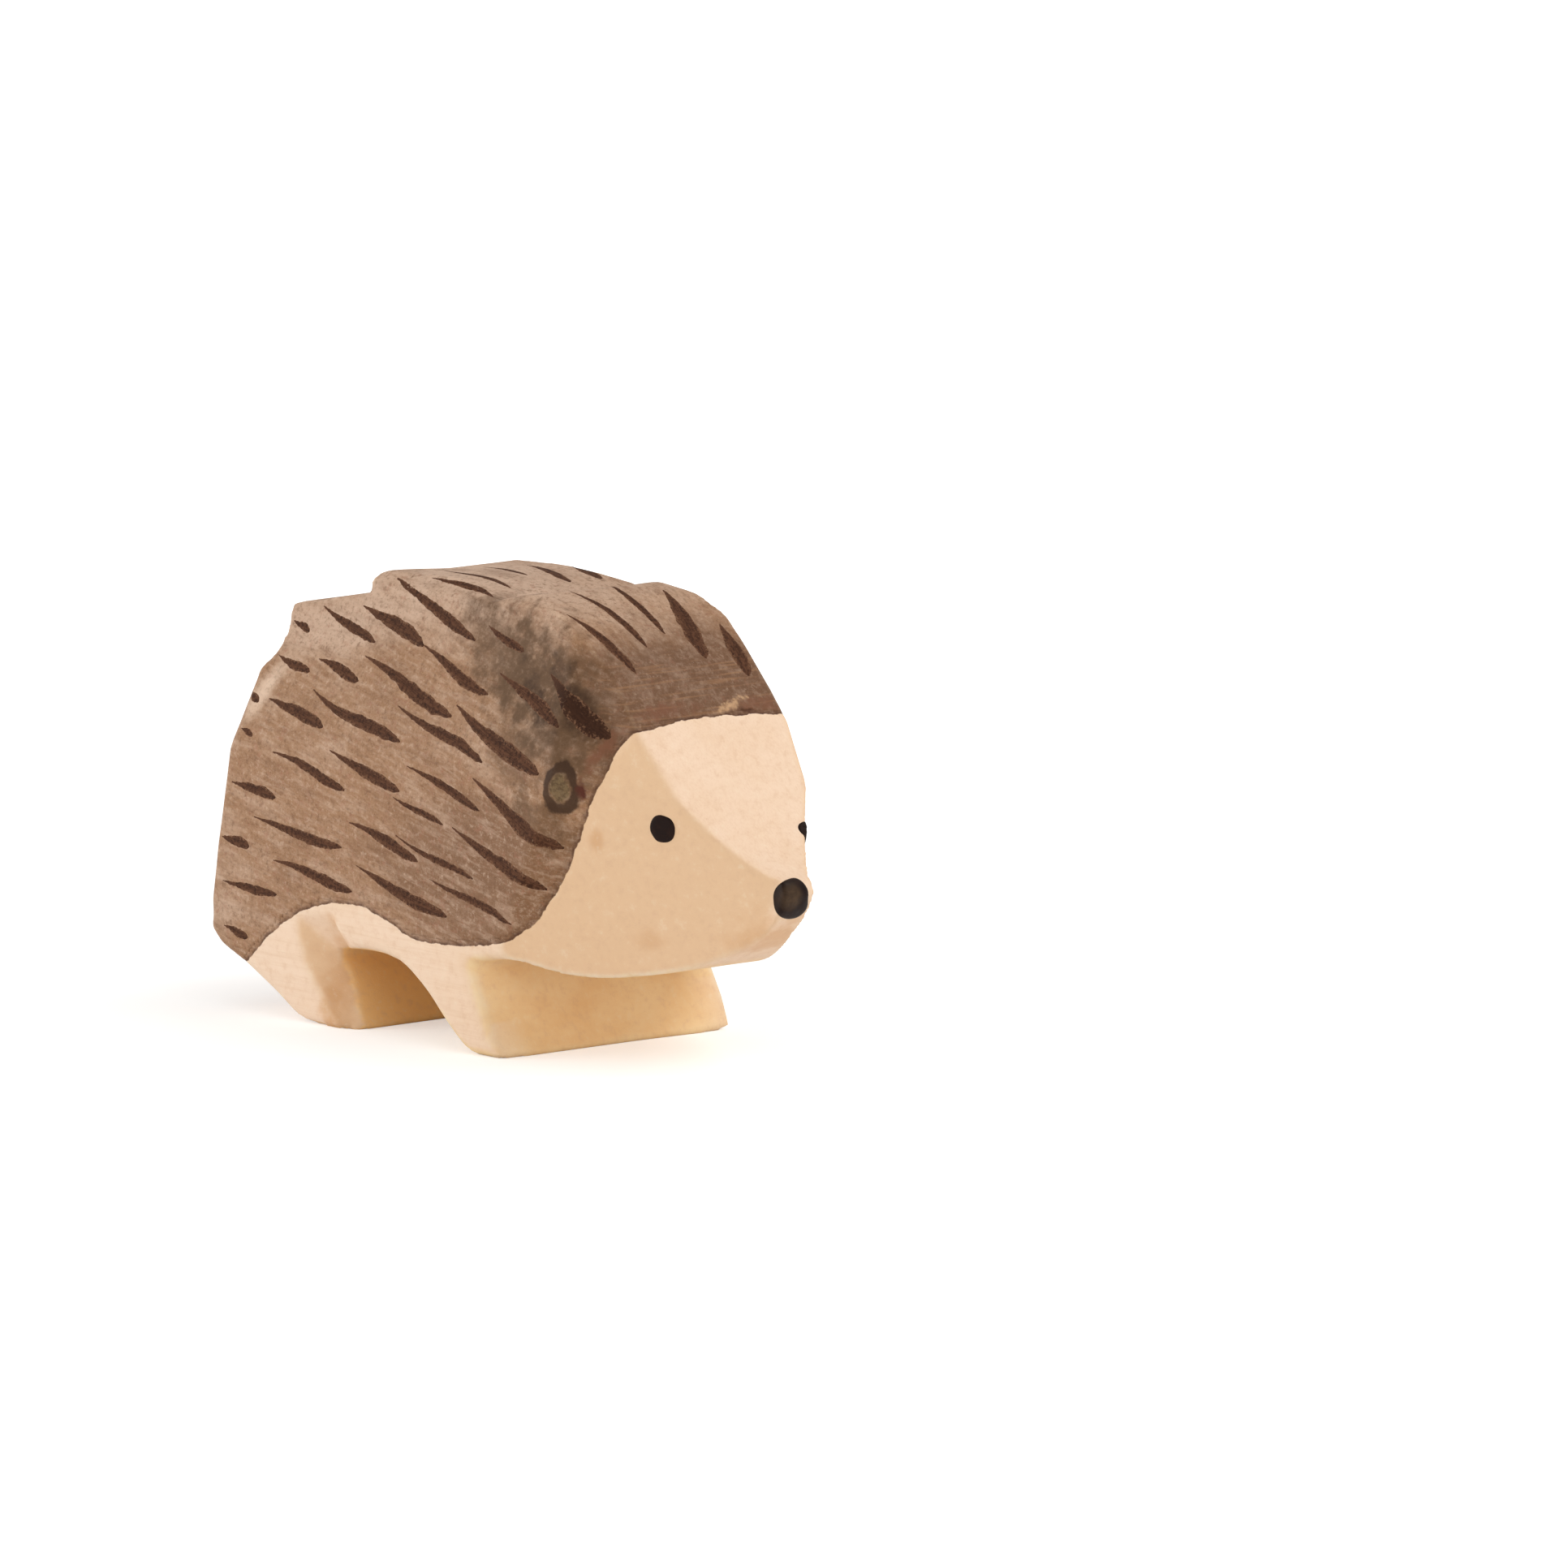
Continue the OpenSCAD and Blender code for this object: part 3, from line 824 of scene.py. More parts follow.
    def make(self, name: str) -> bpy.types.Material:
        """The wood with its glaze.

        Args:
            name: name of the material.

        Returns:
            The material.
        """
        g = Graph(bpy.data.materials.new(name))
        at = g.millimetres()
        bare, height = self.bare(g, at)
        wobble = g.sway(at, self.brush, self.brush_wobble)
        inside = g.math("ADD", g.attribute("coat_edge"), wobble)
        covered = g.span(inside, *self.edge_span)
        colour = g.mix(covered, bare, self.coated(g, at, bare, inside))
        # Painted shade in the creases and hollows, in the grain's ring tone.
        colour = g.mix(g.span(g.attribute("ridge"), *self.crease_shade_span), colour, self.ring)
        pore = g.cloud(at, self.pores)
        normal = g.bump(g.cloud(at, self.knife_marks), self.knife_relief)
        normal = g.bump(height, self.grain_relief, normal)
        normal = g.bump(pore, self.pore_relief, normal)
        rough = g.math("ADD", self.roughness, g.times(pore, self.pore_roughness))
        rough = g.math("SUBTRACT", rough, g.times(covered, self.glaze_sheen))
        return g.surface(colour, rough, normal, Specular_IOR_Level=self.shine)


@dataclass(frozen=True)
class QuillFinish:
    """Dark brown paint that a brush has laid in one pull."""

    full: Colour = srgb(74, 44, 28)
    dry: Colour = srgb(108, 72, 52)
    deep: Colour = srgb(50, 27, 15)
    thin: Colour = srgb(136, 99, 74)
    hairs: Lumps = Lumps(1.0, 4, 0.6, (0.35, 0.10, 1.0))
    hair_veil: Veil = Veil(0.44, 0.60, 0.7, dry)
    specks: Lumps = Lumps(2.4, 4, 0.75, veils=(Veil(0.50, 0.62, 0.8, deep), Veil(0.46, 0.36, 0.6, dry)))
    burnt: Stains = Stains(deep, (Stain((19.0, -13.2, 42.0), (9.0, 7.0, 4.0), (0, 40, 0), 0.8),), 0.0, 0.5)
    fuzz: Lumps = Lumps(3.0, 3, 0.75)
    fuzz_width: float = 2.4
    edge_veil: Veil = Veil(0.45, 1.0, 0.85, thin)
    start_veil: Veil = Veil(0.35, 0.0, 0.4, dry)
    relief: tuple[float, float] = (0.05 * MM, 0.6)
    roughness: Span = (0.2, 0.8, 0.64, 0.80)
    shine: float = 0.12

    def make(self, name: str) -> bpy.types.Material:
        """The paint, streaked along each stroke.

        Args:
            name: name of the material.

        Returns:
            The material.
        """
        g = Graph(bpy.data.materials.new(name))
        brushed = g.node("UVMap", uv_map="stroke").outputs[0]
        along, across = g.parts(brushed)[:2]
        at = g.millimetres()
        hairs = g.cloud(brushed, self.hairs)
        colour = g.veil(self.full, hairs, self.hair_veil)
        colour = g.clouded(colour, at, self.specks)
        colour = g.stained(colour, at, self.burnt)
        edge = g.math("ABSOLUTE", g.math("SUBTRACT", g.times(across, 2.0), 1.0))
        edge = g.math("ADD", edge, g.sway(at, self.fuzz, self.fuzz_width))
        colour = g.veil(colour, edge, self.edge_veil)
        colour = g.veil(colour, along, self.start_veil)
        normal = g.bump(hairs, self.relief)
        return g.surface(colour, g.span(hairs, *self.roughness), normal, Specular_IOR_Level=self.shine)


@dataclass(frozen=True)
class BlackFinish:
    """Satin black paint, a little brown where it is thin, with a painted highlight on the middle of the
    nose.
    """

    black: Colour = srgb(28, 13, 9)
    brown: Colour = srgb(44, 26, 19)
    # Brown of the painted highlight on the middle of the nose.
    wear_and_sheen: Colour = srgb(80, 62, 46)
    thick: Lumps = Lumps(0.9, 3, 0.5)
    thin_veil: Veil = Veil(0.45, 0.75, 0.7, brown)
    # Where the painted highlight sits on the nose.
    sheen_place: Stain = Stain((42.0, -1.2, 21.0), (2.2, 1.8, 2.0))
    sheen_span: Span = (1.05, 0.30)
    patches: Lumps = Lumps(1.1, 3, 0.5)
    patch_span: Span = (0.30, 0.60, 0.62, 1.0)
    dried: Lumps = Lumps(1.4, 3, 0.5)
    relief: tuple[float, float] = (0.05 * MM, 0.5)
    roughness: Span = (0.3, 0.7, 0.44, 0.60)
    shine: float = 0.12

    def make(self, name: str) -> bpy.types.Material:
        """The paint, with soft lumps where it dried thick.

        Args:
            name: name of the material.

        Returns:
            The material.
        """
        g = Graph(bpy.data.materials.new(name))
        at = g.millimetres()
        thick = g.cloud(at, self.thick)
        colour = g.veil(self.black, thick, self.thin_veil)
        # Painted highlight on the middle of the nose, broken into patches.
        wear_and_sheen = g.times(g.span(g.away(at, self.sheen_place), *self.sheen_span),
                         g.span(g.cloud(at, self.patches), *self.patch_span))
        colour = g.mix(wear_and_sheen, colour, self.wear_and_sheen)
        normal = g.bump(g.cloud(at, self.dried), self.relief)
        return g.surface(colour, g.span(thick, *self.roughness), normal, Specular_IOR_Level=self.shine)


@dataclass(frozen=True)
class StageFinish:
    """White paper under the figure, with its glow by the distance in metres."""

    paper: Colour = (0.88, 0.88, 0.88, 1.0)
    white: Colour = (1.0, 1.0, 1.0, 1.0)
    roughness: float = 0.9
    glow: Span = (0.16, 0.55, 0.42, 1.0)

    def make(self, name: str) -> bpy.types.Material:
        """The paper, which fades to plain white away from the figure.

        Args:
            name: name of the material.

        Returns:
            The material.
        """
        g = Graph(bpy.data.materials.new(name))
        path = g.node("LightPath")
        seen = g.math("MAXIMUM", path.outputs["Is Camera Ray"], path.outputs["Is Glossy Ray"])
        seen = g.math("MAXIMUM", seen, path.outputs["Is Transmission Ray"])
        glow = g.span(g.distance(g.node("TexCoord").outputs["Object"]), *self.glow)
        return g.surface(self.paper, self.roughness, None, Specular_IOR_Level=0.0,
                         Emission_Color=self.white, Emission_Strength=g.times(glow, seen))


# The figure


@dataclass(frozen=True)
class Nudge:
    """A soft move of the skin round a place, in millimetres."""

    centre: Triple
    reach: Triple
    move: Triple


@dataclass
class CarvedFigure:
    """The one piece of wood, and the film of glaze on it."""

    merge: float = 0.002 * MM
    voxel: float = 0.43 * MM
    smooth_factor: float = 0.5
    smoothing: int = 3
    hand_reach: float = 9 * MM
    hand_level: float = 0.62
    unevenness: float = 0.12 * MM
    sole_snap: float = 0.14 * MM
    film: float = 0.04 * MM
    film_inset: float = 0.35
    film_taper: float = 0.6
    film_least: float = 0.1
    toe: Triple = (10.4, 17.5, 0.0)
    toe_reach: Triple = (4.5, 5.0, 4.5)
    toe_rounds: int = 40
    nudges: tuple[Nudge, ...] = (
        Nudge((9.0, 19.0, 4.5), (9.0, 18.0, 10.0), (1.3, 0.0, 0.0)),
        Nudge((4.5, 5.0, 52.5), (10.0, 15.0, 10.0), (1.9, 0.0, 0.0)),
        Nudge((-18.5, -9.5, 52.0), (5.0, 9.0, 3.2), (-1.7, 0.0, 0.25)),
        Nudge((-31.5, 0.0, 47.0), (4.5, 40.0, 3.0), (-0.3, 0.0, 0.45)),
        Nudge((-34.0, 0.0, 47.3), (1.8, 40.0, 1.6), (0.55, 0.0, -0.50)),
    )
    coat_edge: Shares = (
        (-0.440, 0.090), (-0.405, 0.118), (-0.380, 0.153), (-0.360, 0.181), (-0.329, 0.216),
        (-0.299, 0.243), (-0.269, 0.260), (-0.229, 0.275), (-0.168, 0.282), (-0.107, 0.258),
        (-0.056, 0.232), (0.022, 0.233), (0.076, 0.244), (0.128, 0.260), (0.153, 0.284),
        (0.177, 0.316), (0.202, 0.371), (0.226, 0.432), (0.258, 0.537), (0.275, 0.597),
        (0.292, 0.650), (0.298, 0.698), (0.309, 0.734), (0.330, 0.772))
    brow_span: Span = (20.0, 26.0)
    brow_half: float = 9.5
    brow_dip: tuple[float, float] = (0.45, -0.55)
    ridge_rounds: int = 9
    # Where the end-grain tone and its painted warm shade go.
    sawn_limits: Shares = ((-2.0, 0.62), (0.0, 0.97), (11.0, 0.97), (15.0, 0.76))
    sawn_fade: float = 0.12
    sawn_height: Span = (12.5, 11.0)
    sawn_length: Span = (-24.0, -22.0)
    sanded_start: float = 8.0
    sanded_width: Span = (12.0, 17.0)
    sanded_share: float = 0.55
    # How far a face turns forward and aside, for its painted shade.
    facet_shade_ahead: Span = (0.0, 1 / 2)
    facet_shade_aside: Span = (0.0, 2 / 3)
    skin: Piece = field(init=False)
    glaze: Piece = field(init=False)

    def copy_node(self, node: str) -> Piece:
        """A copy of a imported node, with its loose triangles merged.

        Args:
            node: name of the node.

        Returns:
            The copy.
        """
        copy = bpy.data.objects.new(node + "_copy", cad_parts[node].data.copy())
        bpy.context.scene.collection.objects.link(copy)
        pick(copy)
        bpy.ops.object.mode_set(mode="EDIT")
        bpy.ops.mesh.select_all(action="SELECT")
        bpy.ops.mesh.remove_doubles(threshold=self.merge)
        bpy.ops.object.mode_set(mode="OBJECT")
        return copy

    def carve(self) -> None:
        """Makes the soft-edged block from the solid that the saw and knife shaped."""
        block, coat = self.copy_node("carved_body"), self.copy_node("brown_coat")
        apply_modifier(block, "BOOLEAN", operation="UNION", object=coat, solver="EXACT")
        bpy.data.objects.remove(coat)
        apply_modifier(block, "REMESH", mode="VOXEL", voxel_size=self.voxel, use_smooth_shade=True)
        apply_modifier(block, "SMOOTH", factor=self.smooth_factor, iterations=self.smoothing)
        self.wear_corners(block)
        self.ease(block.data)
        hand = bpy.data.textures.new("hand_work", "CLOUDS")
        hand.noise_scale = self.hand_reach
        hand.noise_depth = 1
        apply_modifier(block, "DISPLACE", texture=hand, strength=self.unevenness,
                       mid_level=self.hand_level, texture_coords="LOCAL")
        self.flatten_soles(block.data)
        keep_in_box(block.data)
        self.skin = block

    def wear_corners(self, block: Piece) -> None:
        """Rounds the toe corners further than the other edges.

        Args:
            block: the block, smoothed all over once.
        """
        places = corners(block.data) / MM
        group = block.vertex_groups.new(name="toes")
        for side in (-1, 1):
            shares = closeness(places, np.array(self.toe) * (1, side, 1), self.toe_reach)
            for index in np.flatnonzero(shares > 0):
                group.add([int(index)], float(shares[index]), "REPLACE")
        apply_modifier(block, "SMOOTH", factor=self.smooth_factor, iterations=self.toe_rounds,
                       vertex_group="toes")
        block.vertex_groups.clear()

    def ease(self, mesh: Mesh) -> None:
        """Moves the places that the carver left out of square.

        Args:
            mesh: the block's mesh.
        """
        places = corners(mesh) / MM
        for nudge in self.nudges:
            share = closeness(places, nudge.centre, nudge.reach) ** 2
            places = places + share[:, None] * np.array(nudge.move)
        set_corners(mesh, places * MM)

    def flatten_soles(self, mesh: Mesh) -> None:
        """Lets the soles that the saw left stand flat on the ground."""
        places = corners(mesh)
        places[places[:, 2] < self.sole_snap, 2] = 0.0
        set_corners(mesh, places)

    def measure(self) -> None:
        """Stores what the finish reads: the glaze's edge, ridges, end grain with its painted warm shade,
        and painted shade on faces turned forward and aside.
        """
        mesh = self.skin.data
        places, normals = corners(mesh) / MM, corner_normals(mesh)
        line = through(self.coat_edge)
        loop = np.vstack([line, [[LENGTH, HEIGHT], [LENGTH, 2 * HEIGHT],
                                 [-LENGTH, 2 * HEIGHT], [-LENGTH, 0]]])
        middle = np.clip(1 - (places[:, 1] / self.brow_half) ** 2, 0, 1)
        brow = ramp(places[:, 0], *self.brow_span) * middle
        rows = places[:, [0, 2]] + brow[:, None] * self.brow_dip
        write_attribute(mesh, "coat_edge", side_of_line(rows, line, loop))
        write_attribute(mesh, "ridge", self.ridges(mesh))
        write_attribute(mesh, "sawn", self.sawn_faces(places, normals))
        # Painted shade on faces turned forward and to the side.
        write_attribute(mesh, "facet_shade", ramp(normals[:, 0], *self.facet_shade_ahead)
                        * ramp(np.abs(normals[:, 1]), *self.facet_shade_aside))

    def sawn_faces(self, places: np.ndarray, normals: np.ndarray) -> np.ndarray:
        """How far each place lies on end grain that the saw left, which also carries painted warm shade:
        legs, arch and throat.

        Args:
            places: places of the vertices, in millimetres.
            normals: outward normals of the vertices.

        Returns:
            One share per vertex, from 0 to 1.
        """
        x, y, z = places.T
        limit = np.interp(x, *zip(*self.sawn_limits))
        across = ramp(limit - np.abs(normals[:, 1]), 0.0, self.sawn_fade)
        sanded = ramp(np.abs(y), *self.sanded_width) * (x > self.sanded_start)
        return (across * ramp(z, *self.sawn_height) * ramp(x, *self.sawn_length)
                * (1 - self.sanded_share * sanded))

    def ridges(self, mesh: Mesh) -> np.ndarray:
        """How far each vertex stands out over its wider surroundings, in millimetres."""
        a, b = read_rows(mesh.edges, "vertices", 2, np.int32).T
        places, normals = corners(mesh) / MM, corner_normals(mesh)
        count = np.bincount(a, minlength=len(places)) + np.bincount(b, minlength=len(places))
        soft = places.copy()
        for _ in range(self.ridge_rounds):
            total = np.stack([np.bincount(a, row[b], len(row)) + np.bincount(b, row[a], len(row))
                              for row in soft.T], 1)
            soft = (soft + total / np.maximum(count, 1)[:, None]) / 2
        return ((places - soft) * normals).sum(1)

    def coat(self) -> None:
        """Makes the film of glaze from the part of the skin that it covers."""
        film = self.skin.copy()
        film.data = self.skin.data.copy()
        bpy.context.scene.collection.objects.link(film)
        bare = read_attribute(film.data, "coat_edge") < self.film_inset
        pick(film)
        bpy.ops.object.mode_set(mode="EDIT")
        bpy.ops.mesh.select_mode(type="VERT")
        bpy.ops.mesh.select_all(action="DESELECT")
        bpy.ops.object.mode_set(mode="OBJECT")
        film.data.vertices.foreach_set("select", bare)
        bpy.ops.object.mode_set(mode="EDIT")
        bpy.ops.mesh.delete(type="VERT")
        bpy.ops.object.mode_set(mode="OBJECT")
        depth = read_attribute(film.data, "coat_edge") - self.film_inset
        lift = self.film * np.clip(depth / self.film_taper, self.film_least, 1)
        set_corners(film.data, corners(film.data) + lift[:, None] * corner_normals(film.data))
        apply_modifier(film, "SOLIDIFY", thickness=self.film, offset=-1.0)
        keep_in_box(film.data)
        self.glaze = film

    def build(self, finish: WoodFinish) -> None:
        """Builds and dresses the wood and its glaze.

        Args:
            finish: how the wood and the glaze look.
        """
        self.carve()
        self.measure()
        self.coat()
        hand_over(self.skin, "wood_block", finish.make("bare_wood"), "bare_wood", "carved_body")
        hand_over(self.glaze, "glaze_film", finish.make("brown_glaze"), "brown_glaze", "brown_coat")


class Face(Enum):
    """Side of the figure that paint is brushed on from.

    Each has the turn of a flat patch, how far off the patch starts, and the lengths of the
    figure, in millimetres, that shares are counted in.
    """

    RIGHT = ((90.0, 0.0, 0.0), 25.0, (LENGTH, HEIGHT))
    LEFT = ((-90.0, 0.0, 0.0), 25.0, (LENGTH, HEIGHT))
    TOP = ((0.0, 0.0, 0.0), 60.0, (LENGTH, WIDTH))
    REAR = ((90.0, 0.0, -90.0), 50.0, (WIDTH, HEIGHT))


@dataclass
class PaintPatch:
    """A patch of paint that follows the skin under it."""

    skin: Piece
    thickness: float = 0.07 * MM
    sunk: float = 0.03 * MM

    def lay(self, patch: Piece) -> None:
        """Presses a flat patch onto the skin and gives it a body, a little sunk in.

        Args:
            patch: object that lies flat outside the skin and faces outward along its own Z,
                with its vertex attribute depth.
        """
        bpy.context.view_layer.update()
        apply_modifier(patch, "SHRINKWRAP", target=self.skin, wrap_method="PROJECT",
                       use_project_z=True, use_negative_direction=True,
                       use_positive_direction=False)
        bpy.ops.object.transform_apply(location=True, rotation=True, scale=True)
        mesh = patch.data
        lift = read_attribute(mesh, "depth")[:, None] * corner_normals(mesh)
        set_corners(mesh, corners(mesh) + lift)
        apply_modifier(patch, "SOLIDIFY", thickness=self.thickness + self.sunk, offset=-1.0)
        keep_in_box(mesh)


@dataclass
class QuillGroup:
    """Brush strokes on one side of the figure.

    Each stroke has the place of its middle in shares of the figure, its length and width
    in shares of a full stroke, and the turn of its broad end in degrees.
    """

    name: str
    node: str
    face: Face
    strokes: Shares
    skin: Piece
    full_length: float = 18.0
    full_width: float = 2.4
    fullness: float = 1.22
    grid: tuple[int, int] = (60, 6)
    profile: Shares = ((0.0, 0.08), (0.08, 0.22), (0.20, 0.44), (0.45, 0.85), (0.66, 1.0),
                       (0.82, 0.86), (0.94, 0.56), (1.0, 0.12))
    ragged: float = 0.40
    ragged_waves: float = 11.0
    ragged_apart: Triple = (7.3, 3.1, 0.5)
    fine: float = 0.18
    fine_waves: float = 46.0
    fine_apart: Triple = (3.7, 5.3, 9.0)
    bows: Shares = ((0.022, 2.4), (0.012, 1.7))
    least: float = 0.02
    crown: float = 0.05 * MM
    edge: float = 0.004 * MM
    edge_start: float = 0.99

    def model_stroke(self) -> Piece:
        """Makes the one flat patch, one unit long and wide, that all strokes are copied from."""
        along, across = self.grid
        bpy.ops.object.select_all(action="DESELECT")
        bpy.ops.mesh.primitive_grid_add(x_subdivisions=along, y_subdivisions=across, size=1.0,
                                        calc_uvs=True)
        patch = bpy.context.object
        patch.data.uv_layers[0].name = "stroke"
        return patch

    def shape(self, flat: np.ndarray, row: tuple[float, ...], seed: int) -> np.ndarray:
        """Gives a flat patch the outline of one brush stroke.

        Args:
            flat: places of the grid's vertices, from -0.5 to 0.5.
            row: the stroke's own row of the table.
            seed: number that sets this stroke's unevenness.

        Returns:
            The places in millimetres, on the plane that the stroke is painted from.
        """
        def wobble(waves: float, shift: float, apart: float, layer: float) -> np.ndarray:
            """Noise along the stroke, a different one on each side of it."""
            return np.array([noise.noise(Vector((a * waves * length + shift, np.sign(b) * apart, layer)))
                             for a, b in zip(t, side)])

        x_share, y_share, length, width, turn = row
        t, side = flat[:, 0] + 0.5, flat[:, 1] * 2
        half = np.interp(t, *zip(*self.profile)) * width * self.full_width / 2
        shift, apart, layer = self.ragged_apart
        ragged = self.ragged * wobble(self.ragged_waves, seed * shift, apart, seed * layer)
        shift, apart, layer = self.fine_apart
        fine = self.fine * wobble(self.fine_waves, seed * shift, apart, layer)
        half = half * (self.fullness + ragged * np.abs(side)) + fine * np.abs(side)
        reach = length * self.full_length
        (first, first_turn), (second, second_turn) = self.bows
        bow = first * reach * math.sin(seed * first_turn) * np.sin(math.pi * t)
        bow += second * reach * math.cos(seed * second_turn) * np.sin(2 * math.pi * t)
        x, y = (t - 0.5) * reach, side * np.maximum(half, self.least) + bow
        c, s = math.cos(math.radians(turn)), math.sin(math.radians(turn))
        across, up = self.face.value[2]
        return np.stack([x_share * across + x * c - y * s, y_share * up + x * s + y * c], 1)

    def build(self, finish: bpy.types.Material) -> None:
        """Builds the group as one piece.

        Args:
            finish: the strokes' paint.
        """
        model = self.model_stroke()
        flat = corners(model.data)
        depth = np.where(np.abs(flat[:, 1]) * 2 > self.edge_start, self.edge, self.crown)
        turn, far, _ = self.face.value
        copies = []
        for number, row in enumerate(self.strokes, 1):
            copy = model.copy()
            copy.data = model.data.copy()
            bpy.context.scene.collection.objects.link(copy)
            plane = self.shape(flat, row, number)
            if self.face is Face.LEFT:
                plane[:, 1] *= -1
                copy.data.flip_normals()
            set_corners(copy.data, np.column_stack([plane, np.full(len(plane), far)]) * MM)
            write_attribute(copy.data, "depth", depth)
            copies.append(copy)
        bpy.data.objects.remove(model)
        pick(*copies)
        bpy.ops.object.join()
        piece = bpy.context.object
        piece.rotation_euler = [math.radians(angle) for angle in turn]
        PaintPatch(self.skin).lay(piece)
        hand_over(piece, self.name, finish, "quill_paint", self.node)


@dataclass
class PaintDot:
    """A drop of black paint: an eye or the nose."""

    name: str
    node: str
    centre: Triple
    facing: Triple
    size: tuple[float, float]
    skin: Piece
    crown: float = 0.22
    crown_power: float = 3.0
    edge: float = 0.004
    square: float = 2.0
    seed: float = 1.0
    wobble: float = 0.09
    wobble_reach: float = 1.3
    far: float = 6.0
    sunk: float = 0.05
    rings: int = 12
    spokes: int = 56
    merge: float = 1e-5

    def build(self, finish: bpy.types.Material) -> None:
        """Builds the drop and presses it on.

        Args:
            finish: the paint.
        """
        bpy.ops.object.select_all(action="DESELECT")
        bpy.ops.mesh.primitive_circle_add(vertices=self.spokes, radius=1.0, fill_type="TRIFAN")
        piece = bpy.context.object
        bpy.ops.object.mode_set(mode="EDIT")
        bpy.ops.mesh.select_all(action="SELECT")
        bpy.ops.mesh.subdivide(number_cuts=self.rings)
        bpy.ops.mesh.remove_doubles(threshold=self.merge)
        bpy.ops.object.mode_set(mode="OBJECT")
        flat = corners(piece.data)[:, :2]
        reach = self.outline(np.arctan2(flat[:, 1], flat[:, 0]))
        x, y = (flat * reach[:, None] * self.size / 2).T
        set_corners(piece.data, np.column_stack([x, y, np.full(len(x), self.far)]) * MM)
        away = np.clip(np.linalg.norm(flat, axis=1), 0, 1)
        depth = self.crown * np.sqrt(1 - away ** self.crown_power) + self.edge
        write_attribute(piece.data, "depth", depth * MM)
        out = Vector(self.facing).normalized()
        right = Vector((0, 0, 1)).cross(out).normalized()
        turn = Matrix((right, out.cross(right), out)).transposed().to_4x4()
        piece.matrix_world = Matrix.Translation(Vector(self.centre) * MM) @ turn
        PaintPatch(self.skin, thickness=0.0, sunk=self.sunk * MM).lay(piece)
        hand_over(piece, self.name, finish, "black_paint", self.node)

    def outline(self, angles: np.ndarray) -> np.ndarray:
        """How far the drop reaches at each angle, about 1 all round.

        Args:
            angles: angles about its middle.

        Returns:
            One reach per angle.
        """
        across, up = np.cos(angles), np.sin(angles)
        even = (np.abs(across) ** self.square + np.abs(up) ** self.square) ** (-1 / self.square)
        uneven = np.array([noise.noise(Vector((x + self.seed, y, self.seed)))
                           for x, y in zip(across * self.wobble_reach, up * self.wobble_reach)])
        return even * (1 + self.wobble * uneven)


FLANK_STROKES: Shares = (
    (-0.314, 0.680, 0.59, 0.75, -11), (-0.191, 0.695, 0.97, 0.70, -13),
    (-0.254, 0.781, 0.45, 0.62, -12), (-0.106, 0.773, 1.03, 0.75, -15),
    (-0.260, 0.878, 0.60, 0.55, -16), (-0.171, 0.890, 0.69, 0.80, -15),
    (-0.024, 0.823, 0.79, 0.60, -17), (-0.098, 0.937, 0.97, 0.62, -17),
    (-0.015, 0.688, 0.96, 0.62, -15), (0.101, 0.697, 0.99, 0.95, -19),
    (-0.276, 0.560, 0.73, 0.62, -13), (-0.158, 0.583, 0.71, 0.75, -15),
    (-0.047, 0.516, 0.51, 0.40, -14), (0.006, 0.575, 0.74, 0.55, -16),
    (0.147, 0.546, 0.84, 0.95, -26), (-0.392, 0.497, 0.44, 0.62, -7),
    (-0.431, 0.375, 0.28, 0.62, -7), (-0.299, 0.421, 0.88, 0.62, -6),
    (-0.119, 0.434, 0.70, 0.70, -14), (-0.013, 0.421, 0.78, 0.42, -14),
    (0.110, 0.440, 0.87, 0.80, -21), (-0.268, 0.330, 0.79, 0.65, -8),
    (-0.082, 0.333, 0.92, 0.75, -14), (0.060, 0.337, 0.81, 0.50, -14),
    (-0.401, 0.278, 0.54, 0.55, -3), (-0.430, 0.176, 0.24, 0.50, -12),
    (-0.355, 0.857, 0.18, 0.40, -16), (-0.347, 0.779, 0.35, 0.50, -11),
    (-0.409, 0.697, 0.14, 0.50, -15), (-0.406, 0.623, 0.12, 0.40, -15),
    (0.061, 0.903, 0.41, 0.50, -17), (0.140, 0.787, 0.74, 0.70, -20),
    (0.225, 0.787, 0.65, 1.10, -32))
BACK_STROKES: Shares = (
    (-0.071, -0.260, 0.66, 0.50, -4), (-0.099, -0.140, 0.73, 0.48, -5),
    (-0.116, 0.014, 0.50, 0.42, -6), (-0.074, 0.114, 0.58, 0.66, -12),
    (-0.050, 0.226, 0.36, 0.70, -8), (-0.310, -0.170, 0.45, 0.50, 4),
    (-0.325, 0.020, 0.50, 0.60, -3), (-0.300, 0.190, 0.42, 0.50, -6))
BROW_STROKES: Shares = (
    (0.158, -0.111, 0.65, 0.58, 8), (0.143, 0.034, 0.63, 0.50, -4),
    (0.205, -0.240, 0.52, 0.75, 17), (0.188, 0.151, 0.60, 1.15, -14),
    (0.240, 0.257, 0.33, 1.00, -7))
RUMP_STROKES: Shares = (
    (-0.230, 0.610, 0.40, 0.55, -84), (0.010, 0.640, 0.42, 0.60, -91),
    (0.250, 0.600, 0.38, 0.50, -97), (-0.120, 0.470, 0.46, 0.60, -88),
    (0.130, 0.450, 0.44, 0.60, -93))


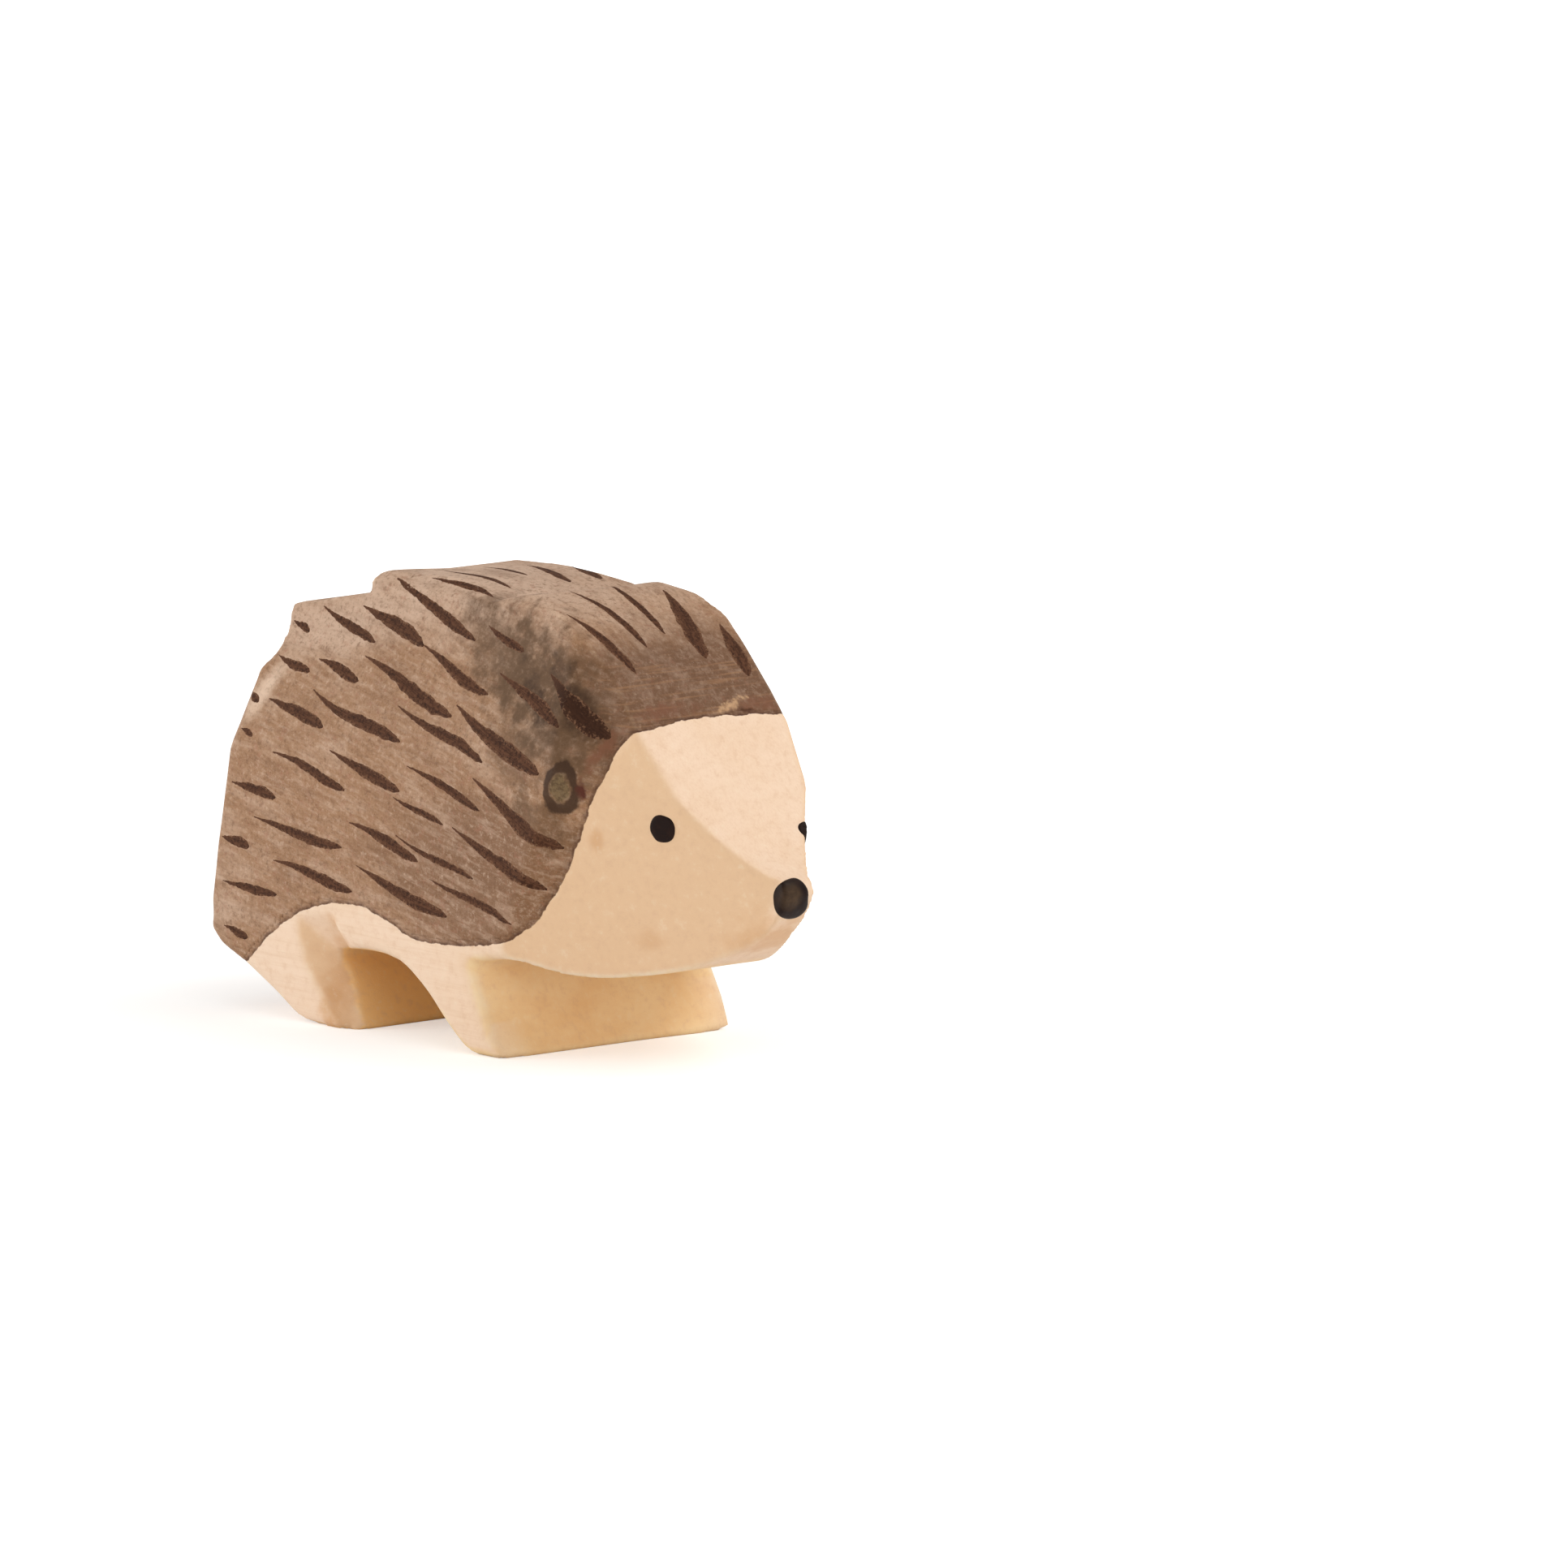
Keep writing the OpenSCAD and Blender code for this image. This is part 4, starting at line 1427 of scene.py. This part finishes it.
@dataclass
class Hedgehog:
    """The whole figure."""

    wood: WoodFinish = WoodFinish()
    quill: QuillFinish = QuillFinish()
    black: BlackFinish = BlackFinish()

    def build(self) -> None:
        """Builds the wood first, and then each layer of paint on it."""
        body = CarvedFigure()
        body.build(self.wood)
        paint = self.quill.make("quill_paint")
        for name, face, strokes in (("right_flank", Face.RIGHT, FLANK_STROKES),
                                    ("left_flank", Face.LEFT, FLANK_STROKES),
                                    ("back", Face.TOP, BACK_STROKES),
                                    ("brow", Face.TOP, BROW_STROKES),
                                    ("rump", Face.REAR, RUMP_STROKES)):
            QuillGroup("quills_" + name, "quill_strokes_" + name, face, strokes, body.skin).build(paint)
        black = self.black.make("black_paint")
        PaintDot("right_eye", "eye_right", (30.1, -10.1, 28.3), (0.49, -0.85, -0.21),
                 (3.0, 3.35), body.skin, seed=1.7).build(black)
        PaintDot("left_eye", "eye_left", (34.9, 6.7, 26.3), (0.60, 0.78, -0.10),
                 (3.0, 3.3), body.skin, seed=4.1).build(black)
        PaintDot("nose", "nose_tip", (41.7, -0.85, 20.7), (0.80, -0.60, 0.05),
                 (3.9, 4.6), body.skin, crown=0.26, square=2.5, seed=8.3).build(black)


# The studio


@dataclass(frozen=True)
class Lamp:
    """A soft square lamp that looks at the figure, in metres and watts."""

    name: str
    place: Triple
    tint: Triple
    watts: float
    size: float = 0.50

    def hang(self, aim: Triple) -> None:
        """Adds the lamp to the scene.

        Args:
            aim: the point that it looks at.
        """
        data = bpy.data.lights.new(self.name, "AREA")
        data.shape = "SQUARE"
        data.size = self.size
        data.energy = self.watts
        data.color = self.tint
        lamp = bpy.data.objects.new(self.name, data)
        lamp.location = self.place
        lamp.rotation_euler = (Vector(self.place) - Vector(aim)).to_track_quat("Z", "Y").to_euler()
        bpy.context.scene.collection.objects.link(lamp)


@dataclass
class Studio:
    """Floor, lamps, backdrop and the photograph's viewpoint."""

    azimuth: float = 49.6
    elevation: float = 8.8
    distance: float = 2.5
    pixels_per_metre: float = 10780.0
    picture: float = 1932.0
    sensor: float = 36.0
    aim: Triple = (0.0, 0.0, 0.026)
    aim_pixel: tuple[float, float] = (687.2, 996.9)
    floor_size: float = 24.0
    room_tint: Colour = (1.0, 0.98, 0.95, 1.0)
    room_light: float = 0.55
    white: Colour = (1.0, 1.0, 1.0, 1.0)
    lamps: tuple[Lamp, ...] = (
        Lamp("overhead", (0.37, 0.37, 0.70), (1.0, 0.98, 0.95), 2.2),
        Lamp("window", (-0.53, -0.64, 0.21), (0.98, 1.0, 1.0), 3.3),
        Lamp("fill", (0.82, -0.13, 0.18), (1.0, 0.93, 0.82), 1.5),
    )

    def place_camera(self) -> None:
        """Puts the camera where the photograph was taken from."""
        a, e = math.radians(self.azimuth), math.radians(self.elevation)
        right = Vector((math.cos(a), math.sin(a), 0))
        up = Vector((-math.sin(a) * math.sin(e), math.cos(a) * math.sin(e), math.cos(e)))
        eye = Vector(self.aim) + right.cross(up) * self.distance
        off = (self.picture / 2 - self.aim_pixel[0], self.aim_pixel[1] - self.picture / 2)
        centre = Vector(self.aim) + (right * off[0] + up * off[1]) / self.pixels_per_metre
        axis = (eye - centre).normalized()
        side = up.cross(axis).normalized()
        data = bpy.data.cameras.new("photo_view")
        data.sensor_width = self.sensor
        data.lens = self.sensor * self.pixels_per_metre * self.distance / self.picture
        camera = bpy.data.objects.new("photo_view", data)
        turn = Matrix((side, axis.cross(side), axis)).transposed().to_4x4()
        camera.matrix_world = Matrix.Translation(eye) @ turn
        bpy.context.scene.collection.objects.link(camera)
        bpy.context.scene.camera = camera

    def light_backdrop(self) -> None:
        """Lights the figure from all around, with a white backdrop for the camera."""
        g = Graph(bpy.data.worlds.new("backdrop"))
        path = g.node("LightPath")
        seen = g.math("MAXIMUM", path.outputs["Is Camera Ray"], path.outputs["Is Transmission Ray"])
        room, backdrop, mix = g.node("Background"), g.node("Background"), g.node("MixShader")
        for socket, value in ((room.inputs[0], self.room_tint), (room.inputs[1], self.room_light),
                              (backdrop.inputs[0], self.white), (mix.inputs[0], seen),
                              (mix.inputs[1], room.outputs[0]), (mix.inputs[2], backdrop.outputs[0]),
                              (g.node("OutputWorld").inputs[0], mix.outputs[0])):
            g.feed(socket, value)
        bpy.context.scene.world = g.owner

    def lay_floor(self) -> None:
        """Lays the pale paper that the figure stands on."""
        bpy.ops.object.select_all(action="DESELECT")
        bpy.ops.mesh.primitive_plane_add(size=self.floor_size, location=(0, 0, 0))
        floor = bpy.context.object
        floor.name = "floor"
        floor.data.materials.append(StageFinish().make("paper"))

    def build(self) -> None:
        """Builds floor, backdrop and lamps."""
        bpy.context.scene.view_settings.view_transform = "Standard"
        self.lay_floor()
        self.light_backdrop()
        for lamp in self.lamps:
            lamp.hang(self.aim)


def main() -> None:
    """Builds the viewpoint, the figure and the studio, in that order."""
    logging.basicConfig(level=logging.INFO, format="%(name)s: %(message)s")
    studio = Studio()
    studio.place_camera()
    Hedgehog().build()
    studio.build()


if __name__ == "__main__":
    main()
